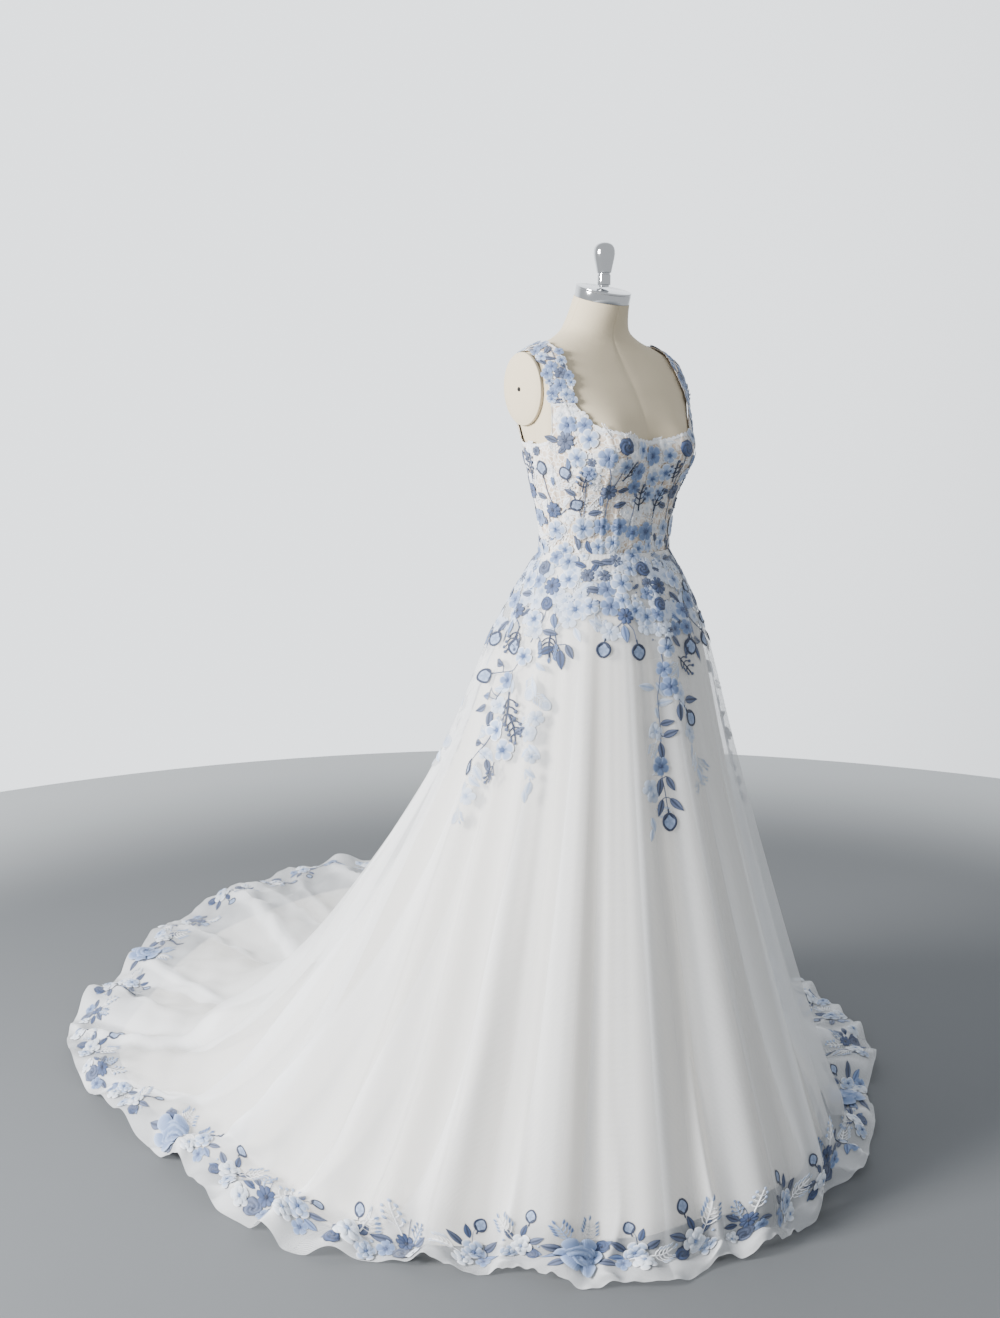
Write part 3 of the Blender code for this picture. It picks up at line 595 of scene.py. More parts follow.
class StrapShape(Surface):
    """A strap's outer surface: from its inner to its outer edge, and from front to back."""

    small = 2e-3

    def __init__(self, sign: int, tree: BVHTree, bodice: BodiceShape, sizes: StrapSizes) -> None:
        """Lays the strap over the shoulder.

        Args:
            sign: 1 on the wearer's left, -1 on their right.
            tree: The form's surface, to rest on.
            bodice: The bodice that the strap joins.
            sizes: The strap's sizes.
        """
        self.outward = float(sign)
        self.rows = self._rows(sign, tree, bodice, sizes)

    @staticmethod
    def _rows(sign: int, tree: BVHTree, bodice: BodiceShape, sizes: StrapSizes) -> Array:
        """The strap's grid of points, from the front join over the shoulder to the back join."""
        shares = np.linspace(0, 1, sizes.columns)
        ends = {
            "front": np.radians(np.interp(shares, (0, 1), sizes.front_degrees)),
            "back": np.radians(np.interp(shares, (0, 1), sizes.back_degrees)),
        }
        shoulder_x = np.interp(shares, (0, 1), sizes.shoulder_x)

        def join_row(end: str, distance: float) -> Array:
            angles = ends[end]
            row = bodice.form.raised(angles, bodice.top_edge(angles) + SEAM_GAP, distance)
            return row * [sign, 1, 1]

        def shoulder_row(turn: float) -> list[Array]:
            join_x = np.abs(join_row("front" if turn < QUARTER else "back", 0.0)[:, 0])
            row = []
            for x in join_x + (shoulder_x - join_x) * math.sin(turn) ** 1.5:
                start = (sign * x, -math.cos(turn), sizes.pivot + math.sin(turn))
                hit, normal, _, _ = tree.ray_cast(start, (0.0, math.cos(turn), -math.sin(turn)))
                row.append(np.array(hit) + np.array(normal) * sizes.clearance)
            return row

        def pushed_off(point: Array) -> Array:
            hit, normal, _, _ = tree.find_nearest(point)
            gap = float(np.dot(point - np.array(hit), normal))
            return point + np.array(normal) * max(0.0, sizes.clearance - gap)

        turns = np.radians(np.linspace(*sizes.turns, sizes.rows))
        first, last = (join_row(end, bodice.clearance)[None] for end in ends)
        middle = np.array([shoulder_row(turn) for turn in turns])
        for _ in range(2):
            padded = np.concatenate([first, middle, last])
            middle = 0.25 * padded[:-2] + 0.5 * padded[1:-1] + 0.25 * padded[2:]
            middle = np.array([[pushed_off(point) for point in row] for row in middle])
        inner = np.concatenate([first, middle, last])
        down, across = np.gradient(inner, axis=0), np.gradient(inner, axis=1)
        outer = inner - sign * sizes.wall * unit(np.cross(down, across))
        outer[0], outer[-1] = (join_row(end, bodice.clearance + sizes.wall) for end in ends)
        return outer

    def at(self, around: Array, along: Array) -> Array:
        """Points by share of the width and share of the length."""
        around, along = paired(around, along)
        rows, columns = self.rows.shape[:2]
        r, c = np.clip(along, 0, 1) * (rows - 1), around * (columns - 1)
        k, j = np.clip(r.astype(int), 0, rows - 2), np.clip(c.astype(int), 0, columns - 2)
        t, s = (r - k)[..., None], (c - j)[..., None]

        def column(index: Array) -> Array:
            """A smooth run along one column of the grid."""
            before, here = self.rows[np.maximum(k - 1, 0), index], self.rows[k, index]
            there, after = self.rows[k + 1, index], self.rows[np.minimum(k + 2, rows - 1), index]
            return hermite(t, here, (there - before) / 2, there, (after - here) / 2)

        return column(j) * (1 - s) + column(j + 1) * s


# Meshes


def quads_of(index: Array) -> Array:
    """The four-cornered faces of a grid of point numbers."""
    corners = (index[:-1, :-1], index[:-1, 1:], index[1:, 1:], index[1:, :-1])
    return np.stack(corners, axis=-1).reshape(-1, 4)


def new_object(name: str, data: bpy.types.ID) -> Piece:
    """A scene object for a mesh, a lamp or a camera."""
    made = bpy.data.objects.new(name, data)
    bpy.context.scene.collection.objects.link(made)
    return made


def activate(piece: Piece) -> None:
    """Makes one object the only selected one."""
    bpy.ops.object.select_all(action="DESELECT")
    piece.select_set(True)
    bpy.context.view_layer.objects.active = piece


def cloth_mesh(name: str, grid: Array, outward: float, wall: float = 0.0) -> Piece:
    """A sheet of cloth from a grid of points, with a UV map in metres.

    Args:
        name: The object's name.
        grid: The points, of shape (rows, columns, 3).
        outward: 1 where rows run up the body, -1 where they run down.
        wall: The cloth's thickness, inwards; none leaves a single skin.

    Returns:
        The cloth's object.
    """
    quads = quads_of(np.arange(grid[..., 0].size).reshape(grid.shape[:2]))
    if outward < 0:
        quads = quads[:, ::-1]
    mesh = bpy.data.meshes.new(name)
    mesh.from_pydata(grid.reshape(-1, 3).tolist(), [], quads.tolist())
    run = run_along(grid)
    down = np.linalg.norm(np.diff(grid, axis=0), axis=-1).mean(axis=1)
    fall = np.concatenate([[0], np.cumsum(down)])
    uv = stacked(run - run[:, -1:] / 2, fall[:, None]).reshape(-1, 2)
    mesh.uv_layers.new(name="cloth").data.foreach_set("uv", uv[quads.ravel()].ravel())
    mesh.shade_smooth()
    made = new_object(name, mesh)
    if wall:
        activate(made)
        solid = made.modifiers.new("wall", "SOLIDIFY")
        solid.thickness = wall
        solid.offset = -1
        bpy.ops.object.modifier_apply(modifier=solid.name)
        bpy.ops.object.shade_smooth_by_angle(angle=math.radians(50))
    return made


def face_out(piece: Piece) -> None:
    """Turns a closed piece's faces outwards."""
    activate(piece)
    bpy.ops.object.mode_set(mode="EDIT")
    bpy.ops.mesh.select_all(action="SELECT")
    bpy.ops.mesh.normals_make_consistent(inside=False)
    bpy.ops.object.mode_set(mode="OBJECT")


def turned_piece(name: str, profile: Rows, steps: int, round_off: float) -> Piece:
    """A piece turned about the vertical axis through the origin, as on a lathe.

    Args:
        name: The object's name.
        profile: Rows of height and radius, from the lower end to the upper.
        steps: The number of sides.
        round_off: The radius of its rounded edges.

    Returns:
        The piece, closed at both ends.
    """
    bpy.ops.object.select_all(action="DESELECT")
    bpy.ops.mesh.primitive_plane_add(size=0.01, location=(0, 0, 0))
    made = bpy.context.object
    made.name = name
    made.data.name = name
    bpy.ops.object.mode_set(mode="EDIT")
    bpy.ops.mesh.select_all(action="SELECT")
    bpy.ops.mesh.merge(type="CENTER")
    rows = [(profile[0][0], 0.0), *profile, (profile[-1][0], 0.0)]
    bpy.ops.transform.translate(value=(rows[0][1], 0, rows[0][0]))
    for (low, near), (high, far) in zip(rows, rows[1:]):
        move = {"value": (far - near, 0, high - low)}
        bpy.ops.mesh.extrude_region_move(TRANSFORM_OT_translate=move)
    bpy.ops.mesh.select_all(action="SELECT")
    bpy.ops.mesh.spin(steps=steps, angle=FULL_TURN, center=(0, 0, 0), axis=(0, 0, 1))
    bpy.ops.mesh.select_all(action="SELECT")
    bpy.ops.mesh.remove_doubles(threshold=0.00002)
    bpy.ops.mesh.normals_make_consistent(inside=False)
    bpy.ops.object.mode_set(mode="OBJECT")
    bevel = made.modifiers.new("rounded edges", "BEVEL")
    bevel.width = round_off
    bevel.segments = 3
    bevel.limit_method = "ANGLE"
    bevel.angle_limit = math.radians(25)
    bpy.ops.object.modifier_apply(modifier=bevel.name)
    bpy.ops.object.shade_smooth_by_angle(angle=math.radians(40))
    return made


def placed(piece: Piece, matrix: Matrix) -> Piece:
    """Moves a piece by a matrix in its mesh, and leaves its object at the origin."""
    piece.data.transform(matrix @ piece.matrix_world)
    piece.matrix_world = Matrix.Identity(4)
    piece.data.update()
    return piece


# Finishes

class Tone(Enum):
    """Thread colours, as linear red, green and blue."""

    WHITE = (0.86, 0.88, 0.92)
    ICE = (0.35, 0.46, 0.69)
    POWDER = (0.165, 0.245, 0.45)
    CORE = (0.060, 0.110, 0.26)
    MIST = (0.092, 0.122, 0.215)
    BLUE = (0.050, 0.085, 0.20)
    SLATE = (0.027, 0.040, 0.086)
    INK = (0.014, 0.023, 0.056)
    PEARL = (0.62, 0.69, 0.80)
    HAZE = (0.56, 0.64, 0.79)


def feed(tree: Tree, node: Node, inputs: dict[str | int, object]) -> None:
    """Fills a node's inputs, each by name or number, from a socket or with a value."""
    for key, value in inputs.items():
        socket = node.inputs[key]
        if isinstance(value, Socket):
            tree.links.new(value, socket)
        elif socket.type == "RGBA":
            socket.default_value = (*value, 1.0)
        else:
            socket.default_value = value


def add_node(
    tree: Tree, kind: str, inputs: dict[str | int, object] | None = None, **settings: object
) -> Node:
    """A new shader node.

    Args:
        tree: The tree to add it to.
        kind: The node's type, without ShaderNode.
        inputs: What its inputs are filled with, by name or number.
        settings: Its own settings, by name.

    Returns:
        The node.
    """
    node = tree.nodes.new(f"ShaderNode{kind}")
    for key, value in settings.items():
        setattr(node, key, value)
    feed(tree, node, inputs or {})
    return node


def new_material(name: str, inputs: dict[str, object]) -> tuple[Material, Tree, Node]:
    """A material with its node tree and its Principled shader, whose plain inputs are given."""
    made = bpy.data.materials.new(name)
    made.use_nodes = True
    shader = made.node_tree.nodes["Principled BSDF"]
    feed(made.node_tree, shader, inputs)
    return made, made.node_tree, shader


def math_node(tree: Tree, operation: str, *values: object) -> Socket:
    """A Math node's output; each value is a socket or a number."""
    return add_node(tree, "Math", dict(enumerate(values)), operation=operation).outputs[0]


def mixed_colour(tree: Tree, share: object, first: object, second: object) -> Socket:
    """A colour mix's output: first where share is 0, second where it is 1."""
    return add_node(tree, "Mix", {0: share, 6: first, 7: second}, data_type="RGBA").outputs[2]


def scaled(tree: Tree, colour: object, value: Socket) -> Socket:
    """A colour multiplied by a changing value."""
    return add_node(tree, "VectorMath", {0: colour, "Scale": value}, operation="SCALE").outputs[0]


def coordinates(tree: Tree, kind: str) -> Socket:
    """The Object or UV output of a Texture Coordinate node."""
    return add_node(tree, "TexCoord").outputs[kind]


def add_bump(tree: Tree, shader: Node, height: Socket, strength: float, depth: float) -> None:
    """Feeds a height into the shader's normal.

    Args:
        tree: The material's tree.
        shader: The Principled shader.
        height: The socket with the height, about -1 to 1.
        strength: The bump's strength.
        depth: The real height of 1, in metres.
    """
    bump = add_node(tree, "Bump", {"Strength": strength, "Distance": depth, "Height": height})
    feed(tree, shader, {"Normal": bump.outputs[0]})


class Effects:
    """The shader node groups that more than one material uses, each built once."""

    def __init__(self) -> None:
        """Builds the groups."""
        self.weave = self._weave()
        self.mottle = self._mottle()
        self.net = self._net()

    @staticmethod
    def _group(name: str, output: str, **numbers: float) -> tuple[Tree, object, Node]:
        """A new group with a vector input, number inputs and one number output."""
        group = bpy.data.node_groups.new(name, "ShaderNodeTree")
        group.interface.new_socket("Vector", in_out="INPUT", socket_type="NodeSocketVector")
        for key, value in numbers.items():
            socket = group.interface.new_socket(key, in_out="INPUT", socket_type="NodeSocketFloat")
            socket.default_value = value
        group.interface.new_socket(output, in_out="OUTPUT", socket_type="NodeSocketFloat")
        return group, group.nodes.new("NodeGroupInput").outputs, group.nodes.new("NodeGroupOutput")

    def _weave(self) -> Tree:
        """Crossing threads: Scale is threads in a metre, over and under in turn."""
        group, given, end = self._group("weave", "Height", Scale=900.0)
        split = add_node(group, "SeparateXYZ", {0: given["Vector"]})
        waves = []
        for axis in (0, 1):
            turn = math_node(group, "MULTIPLY", split.outputs[axis], given["Scale"])
            waves.append(math_node(group, "SINE", math_node(group, "MULTIPLY", turn, FULL_TURN)))
        cross = math_node(group, "MULTIPLY", *waves)
        feed(group, end, {"Height": math_node(group, "MULTIPLY", cross, 0.5)})
        return group

    def _mottle(self) -> Tree:
        """Soft cloudy variation from 1 - Amount to 1 + Amount."""
        group, given, end = self._group("mottle", "Value", Scale=8.0, Amount=0.05)
        place = {"Vector": given["Vector"], "Scale": given["Scale"], "Detail": 4.0}
        noise = add_node(group, "TexNoise", place)
        swing = math_node(group, "MULTIPLY_ADD", noise.outputs["Fac"], 2.0, -1.0)
        feed(group, end, {"Value": math_node(group, "MULTIPLY_ADD", swing, given["Amount"], 1.0)})
        return group

    def _net(self) -> Tree:
        """A fine net: 1 on its threads and 0 in its holes, with Scale cells in a metre."""
        group, given, end = self._group("net", "Mask", Scale=600.0, Thread=0.2)
        place = {"Vector": given["Vector"], "Scale": given["Scale"], "Randomness": 0.25}
        away = add_node(group, "TexVoronoi", place, feature="DISTANCE_TO_EDGE").outputs["Distance"]
        feed(group, end, {"Mask": math_node(group, "LESS_THAN", away, given["Thread"])})
        return group

    @staticmethod
    def placed(tree: Tree, group: Tree, vector: Socket, **values: float) -> Socket:
        """Adds a group to a material's tree.

        Args:
            tree: The material's tree.
            group: The node group.
            vector: The socket that gives the place on the surface.
            values: The group's number inputs, by name.

        Returns:
            The group's output.
        """
        inputs = {"Vector": vector, **{key.capitalize(): value for key, value in values.items()}}
        return add_node(tree, "Group", inputs, node_tree=group).outputs[0]


@dataclass(frozen=True)
class Woven:
    """A woven cloth: raised threads along its UV map, and a faintly uneven colour."""

    name: str
    colour: Colour
    roughness: float
    sheen: float
    threads: float
    relief: tuple[float, float]
    cloud: float
    unevenness: float

    def make(self, effects: Effects) -> Material:
        """The material."""
        made, tree, shader = new_material(
            self.name, {"Roughness": self.roughness, "Sheen Weight": self.sheen}
        )
        cloud = effects.placed(
            tree, effects.mottle, coordinates(tree, "Object"), scale=self.cloud, amount=self.unevenness
        )
        feed(tree, shader, {"Base Color": scaled(tree, self.colour, cloud)})
        weave = effects.placed(tree, effects.weave, coordinates(tree, "UV"), scale=self.threads)
        add_bump(tree, shader, weave, *self.relief)
        return made


@dataclass(frozen=True)
class Metal:
    """A metal with faint smudges or a fine texture in its gloss."""

    name: str
    colour: Colour
    metallic: float
    roughness: float
    smudge: float
    grain: float

    def make(self, effects: Effects) -> Material:
        """The material."""
        made, tree, shader = new_material(self.name, {"Metallic": self.metallic})
        place = coordinates(tree, "Object")
        cloud, wear, fine = (
            effects.placed(tree, effects.mottle, place, scale=scale, amount=amount)
            for scale, amount in ((38, self.smudge), (120, 0.03), (900, 1.0))
        )
        feed(tree, shader, {
            "Roughness": math_node(tree, "MULTIPLY", cloud, self.roughness),
            "Base Color": scaled(tree, self.colour, wear),
        })
        add_bump(tree, shader, fine, self.grain, 0.0001)
        return made


@dataclass(frozen=True)
class LaceGround:
    """The bodice's ground: nude net with a white corded lace pattern in it."""

    nude: Colour = (0.56, 0.42, 0.30)
    white: Colour = (0.86, 0.85, 0.83)
    cell: float = 105.0

    def make(self, effects: Effects) -> Material:
        """The material."""
        made, tree, shader = new_material("bodice lace", {"Roughness": 0.75, "Sheen Weight": 0.15})
        place = coordinates(tree, "Object")
        warp = add_node(tree, "TexNoise", {"Vector": place, "Scale": 45.0}).outputs["Color"]
        shift = {0: warp, 1: (0.010, 0.010, 0.010), 2: place}
        bent = add_node(tree, "VectorMath", shift, operation="MULTIPLY_ADD").outputs[0]
        cells = {"Vector": bent, "Scale": self.cell}
        cords = add_node(tree, "TexVoronoi", cells, feature="DISTANCE_TO_EDGE")
        cord = math_node(tree, "LESS_THAN", cords.outputs["Distance"], 0.085)
        patches = add_node(tree, "TexNoise", {"Vector": place, "Scale": 60.0, "Detail": 3.0})
        over = math_node(tree, "SUBTRACT", patches.outputs["Fac"], 0.46)
        clothwork = math_node(tree, "SMOOTH_MIN", math_node(tree, "MULTIPLY", over, 5.0), 0.62)
        clothwork = math_node(tree, "MAXIMUM", clothwork, 0.0)
        net = effects.placed(tree, effects.net, place, scale=620, thread=0.12)
        white = math_node(tree, "MAXIMUM", cord, clothwork)
        white = math_node(tree, "MAXIMUM", white, math_node(tree, "MULTIPLY", net, 0.30))
        feed(tree, shader, {"Base Color": mixed_colour(tree, white, self.nude, self.white)})
        add_bump(tree, shader, white, 0.6, 0.0006)
        return made


@dataclass(frozen=True)
class TulleNet:
    """Sheer white tulle: a fine net that the lining shows through."""

    colour: Colour = (0.90, 0.925, 0.965)
    cover: float = 0.25
    thread_cover: float = 0.52
    doubled_cover: float = 0.42
    cells: float = 560.0

    def make(self, effects: Effects) -> Material:
        """The material, with more cover where the piece's fullness says that the net is doubled."""
        made, tree, shader = new_material(
            "tulle net", {"Base Color": self.colour, "Roughness": 0.70, "Sheen Weight": 0.35}
        )
        net = effects.placed(tree, effects.net, coordinates(tree, "UV"), scale=self.cells, thread=0.16)
        spread = math_node(tree, "MULTIPLY", net, self.thread_cover - self.cover)
        full = add_node(tree, "Attribute", attribute_name="fullness").outputs["Fac"]
        doubled = math_node(tree, "MULTIPLY_ADD", full, self.doubled_cover, self.cover)
        feed(tree, shader, {"Alpha": math_node(tree, "ADD", spread, doubled)})
        return made


@dataclass(frozen=True)
class Thread:
    """Embroidery thread in the colours of a piece's own attribute, with fine stitches whose grooves carry a
    painted shade and whose crests carry a painted highlight.
    """

    stitches: float = 26.0
    sheen: float = 0.25

    def make(self, effects: Effects) -> Material:
        """The material."""
        made, tree, shader = new_material(
            "embroidery thread", {"Roughness": 0.55, "Sheen Weight": self.sheen}
        )
        tone = add_node(tree, "Attribute", attribute_name="tone").outputs["Color"]
        split = add_node(tree, "SeparateXYZ", {0: coordinates(tree, "UV")})
        turn = math_node(tree, "MULTIPLY", split.outputs[0], self.stitches * FULL_TURN)
        stitch = math_node(tree, "SINE", turn)
        # The colour follows the stitches' relief: painted shade in their grooves and painted highlight on
        # their crests.
        shade = math_node(tree, "MULTIPLY_ADD", stitch, 0.09, 0.97)
        cloud = effects.placed(tree, effects.mottle, coordinates(tree, "Object"), scale=160, amount=0.10)
        feed(tree, shader, {"Base Color": scaled(tree, scaled(tree, tone, shade), cloud)})
        add_bump(tree, shader, stitch, 0.5, 0.0002)
        return made


class Finishes:
    """Every material of the dress, its form and its stand."""

    def __init__(self) -> None:
        """Makes the materials."""
        cover, satin = (0.60, 0.515, 0.37), (0.70, 0.665, 0.605)
        kinds = {
            "cover": Woven("form cover", cover, 0.82, 0.12, 850.0, (0.35, 0.0002), 14, 0.035),
            "chrome": Metal("polished chrome", (0.60, 0.61, 0.63), 1.0, 0.10, 0.35, 0.0),
            "stand": Metal("stand enamel", (0.05, 0.05, 0.055), 0.6, 0.42, 0.15, 0.25),
            "screw": Metal("screw steel", (0.012, 0.012, 0.013), 0.4, 0.6, 0.15, 0.1),
            "lace": LaceGround(),
            "satin": Woven("lining satin", satin, 0.46, 0.10, 1600.0, (0.2, 0.0001), 5, 0.02),
            "tulle": TulleNet(),
            "thread": Thread(),
        }
        effects = Effects()
        self.made = {key: kind.make(effects) for key, kind in kinds.items()}

    def dress(self, piece: Piece, key: str) -> None:
        """Gives a piece one of the materials."""
        piece.data.materials.clear()
        piece.data.materials.append(self.made[key])


def finished(
    piece: Piece, finishes: Finishes, key: str, slot: str, nodes: Sequence[str] = ()
) -> Piece:
    """Dresses a piece, makes it ride on the part and puts it in place of its solids.

    Args:
        piece: The piece.
        finishes: The materials.
        key: The material's key.
        slot: A material slot's name; not used.
        nodes: The solids that the piece stands for.

    Returns:
        The piece.
    """
    finishes.dress(piece, key)
    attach(piece, BODY)
    if nodes:
        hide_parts(*nodes)
    LOG.info("%s: %d faces", piece.name, len(piece.data.polygons))
    return piece


def worn(
    piece: Piece, grid: Array, finishes: Finishes, look: tuple[str, str], node: str, held: str, on: str
) -> None:
    """Finishes a sheet of cloth.

    Args:
        piece: The sheet.
        grid: The points that it was made from; not used.
        finishes: The materials.
        look: The material's key and the name of a material slot.
        node: The solid that the sheet stands for.
        held: How the sheet is held; not used.
        on: The piece that it rests on; not used.
    """
    finished(piece, finishes, *look, [node])


# Dress form and stand

@dataclass
class DressForm:
    """The limbless form: torso, neck cap, knob, arm plates and their screws."""

    shape: FormShape = FormShape()
    columns: int = 132
    rows: int = 150
    seam_degrees: tuple[float, ...] = (0, 90, 180, 270)
    seam_depth: float = 0.0006
    seam_half_width: float = 0.0012
    cap_radius: float = 0.0475
    cap_height: float = 0.018
    plate_half_height: float = 0.060
    plate_half_depth: float = 0.052
    plate_thickness: float = 0.007
    plate_dome: float = 0.005
    plate_back_shift: float = 0.026
    seam_edge: float = 0.014
    knob_profile: Rows = (
        # height above the cap, radius
        (0.0, 0.0085), (0.003, 0.0085), (0.0034, 0.0112), (0.02, 0.0112), (0.0205, 0.01), (0.0225, 0.01),
        (0.0235, 0.0122), (0.03, 0.0135), (0.038, 0.0152), (0.046, 0.017), (0.053, 0.0181), (0.059, 0.0181),
        (0.064, 0.0171), (0.068, 0.0148), (0.0705, 0.0118), (0.0722, 0.0082), (0.0731, 0.004),
    )

    @property
    def neck_top(self) -> tuple[float, float, float]:
        """The cap's tilt, and the depth and height of its underside's middle."""
        tilt, back = self.shape.neck_tilt, self.shape.sections[-1][4]
        return tilt, back, self.shape.top + back * math.tan(tilt) + SEAM_GAP / math.cos(tilt)

    def torso(self) -> Piece:
        """The covered torso with its sunk seams, closed at both ends."""
        seams = np.radians(self.seam_degrees)
        around = np.linspace(0, FULL_TURN, self.columns, endpoint=False)
        around = [a for a in around if np.abs(centred(a - seams)).min() > self.seam_edge]
        for seam in seams:
            around += [(seam + share * self.seam_edge) % FULL_TURN for share in (-0.9, -0.45, 0, 0.45, 0.9)]
        around = np.array(sorted(around))
        heights = np.linspace(self.shape.bottom, self.shape.top, self.rows)
        angle, height = np.meshgrid(np.append(around, around[0] + FULL_TURN), heights)
        away = np.min([np.abs(centred(angle - seam)) for seam in seams], axis=0)
        sink = -self.seam_depth * np.exp(-((away * 0.11 / self.seam_half_width) ** 2))
        made = cloth_mesh("torso_cover", self.shape.raised(angle, height, sink), 1.0)
        shape = bmesh.new()
        shape.from_mesh(made.data)
        bmesh.ops.remove_doubles(shape, verts=shape.verts, dist=0.00002)
        rims = [edge for edge in shape.edges if edge.is_boundary]
        bmesh.ops.holes_fill(shape, edges=rims, sides=0)
        bmesh.ops.recalc_face_normals(shape, faces=shape.faces)
        shape.to_mesh(made.data)
        shape.free()
        activate(made)
        bpy.ops.object.shade_smooth_by_angle(angle=math.radians(50))
        return made

    def cap(self) -> Piece:
        """The tilted chrome cap on the neck."""
        radius, height = self.cap_radius, self.cap_height
        rim = ((0.0, radius), (height - 0.004, radius), (height - 0.0035, radius - 0.0006),
               (height - 0.003, radius), (height, radius))
        tilt, back, high = self.neck_top
        place = Matrix.Translation((0, back, high)) @ Matrix.Rotation(tilt, 4, "X")
        return placed(turned_piece("neck_cap_chrome", rim, 96, 0.0006), place)

    def knob(self) -> Piece:
        """The pear-shaped knob on the cap."""
        tilt, back, base = self.neck_top
        middle = back - self.cap_height * math.sin(tilt)
        high_edge = self.knob_profile[0][1] * math.tan(tilt)
        top = base + self.cap_height * math.cos(tilt) + high_edge + SEAM_GAP
        made = turned_piece("neck_knob_chrome", self.knob_profile, 72, 0.0005)
        return placed(made, Matrix.Translation((0, middle, top)))

    def on_armhole(self, sign: int) -> Matrix:
        """The place of the armhole's plane: depth, height and out become the world's axes."""
        lean = math.atan(self.shape.armhole_lean)
        height = Vector((sign * math.sin(lean), 0, math.cos(lean)))
        out = Vector((sign * math.cos(lean), 0, -math.sin(lean)))
        turn = Matrix((Vector((0, 1, 0)), height, out)).transposed().to_4x4()
        x = sign * (self.shape.armhole_plane_x + SEAM_GAP / math.cos(lean))
        return Matrix.Translation((x, self.plate_back_shift, self.shape.armhole_height)) @ turn

    def plate(self, side: str, sign: int) -> Piece:
        """The domed oval plate over one armhole, with its piped rim and a UV map in metres."""
        thick, dome = self.plate_thickness, self.plate_dome
        profile = [(0.0, 0.985), (0.0014, 1.0), (thick - 0.0018, 1.0), (thick - 0.0004, 0.985)]
        profile += [(thick - 0.0006, 0.955), (thick - 0.0001, 0.935)]
        shares = (0.86, 0.74, 0.60, 0.45, 0.30, 0.15)
        profile += [(thick + dome * (1 - share**2), share) for share in shares]
        made = turned_piece(f"arm_plate_cover_{side}", profile, 96, 0.0004)
        oval = Matrix.Diagonal((self.plate_half_depth, self.plate_half_height, 1, 1))
        made = placed(made, self.on_armhole(sign) @ oval)
        face_out(made)
        layer = made.data.uv_layers.new(name="cloth")
        for loop in made.data.loops:
            layer.data[loop.index].uv = made.data.vertices[loop.vertex_index].co.yz
        return made

    def screw(self, side: str, sign: int) -> Piece:
        """The small dark socket screw at the plate's middle."""
        top = self.plate_thickness + 0.95 * self.plate_dome + SEAM_GAP
        profile = ((top, 0.0036), (top + 0.0011, 0.0036), (top + 0.0015, 0.0031),
                   (top + 0.0015, 0.0016), (top + 0.0006, 0.0014))
        made = turned_piece(f"arm_screw_head_{side}", profile, 24, 0.0001)
        made = placed(made, self.on_armhole(sign))
        face_out(made)
        return made

    def build(self, finishes: Finishes) -> None:
        """Makes and dresses the form's pieces."""
        finished(self.torso(), finishes, "cover", "form_cover", ["form_torso"])
        finished(self.cap(), finishes, "chrome", "chrome", ["neck_cap"])
        finished(self.knob(), finishes, "chrome", "chrome", ["neck_knob"])
        for side, sign in (("left", 1), ("right", -1)):
            finished(self.plate(side, sign), finishes, "cover", "form_cover", [f"arm_plate_{side}"])
            finished(self.screw(side, sign), finishes, "screw", "stand_metal", [f"arm_screw_{side}"])


@dataclass
class Stand:
    """The pole and the round floor base under the skirt."""

    base_radius: float = 0.195
    base_edge: float = 0.012
    hub_radius: float = 0.034
    hub_height: float = 0.040
    pole_radius: float = 0.0175

    def build(self, finishes: Finishes, form_bottom: float) -> None:
        """Makes and dresses the base and the pole.

        Args:
            finishes: The materials.
            form_bottom: The height of the form's lower end.
        """
        edge = self.base_edge
        base = (
            (0.0, self.base_radius), (edge * 0.7, self.base_radius), (edge, self.base_radius - 0.006),
            (edge + 0.003, self.base_radius * 0.6), (edge + 0.006, self.hub_radius + 0.02),
            (edge + 0.012, self.hub_radius + 0.006), (self.hub_height, self.hub_radius),
        )
        made = turned_piece("base_disc", base, 96, 0.0015)
        finished(made, finishes, "stand", "stand_metal", ["stand_base"])
        low, high = self.hub_height + SEAM_GAP, form_bottom - SEAM_GAP
        radius = self.pole_radius
        pole = ((low, radius), (low + 0.018, radius), (low + 0.0185, radius - 0.0012),
                (high - 0.02, radius - 0.0012), (high - 0.0195, radius), (high, radius))
        made = turned_piece("pole_tube", pole, 48, 0.0004)
        finished(made, finishes, "stand", "stand_metal", ["stand_pole"])


# Cloth pieces

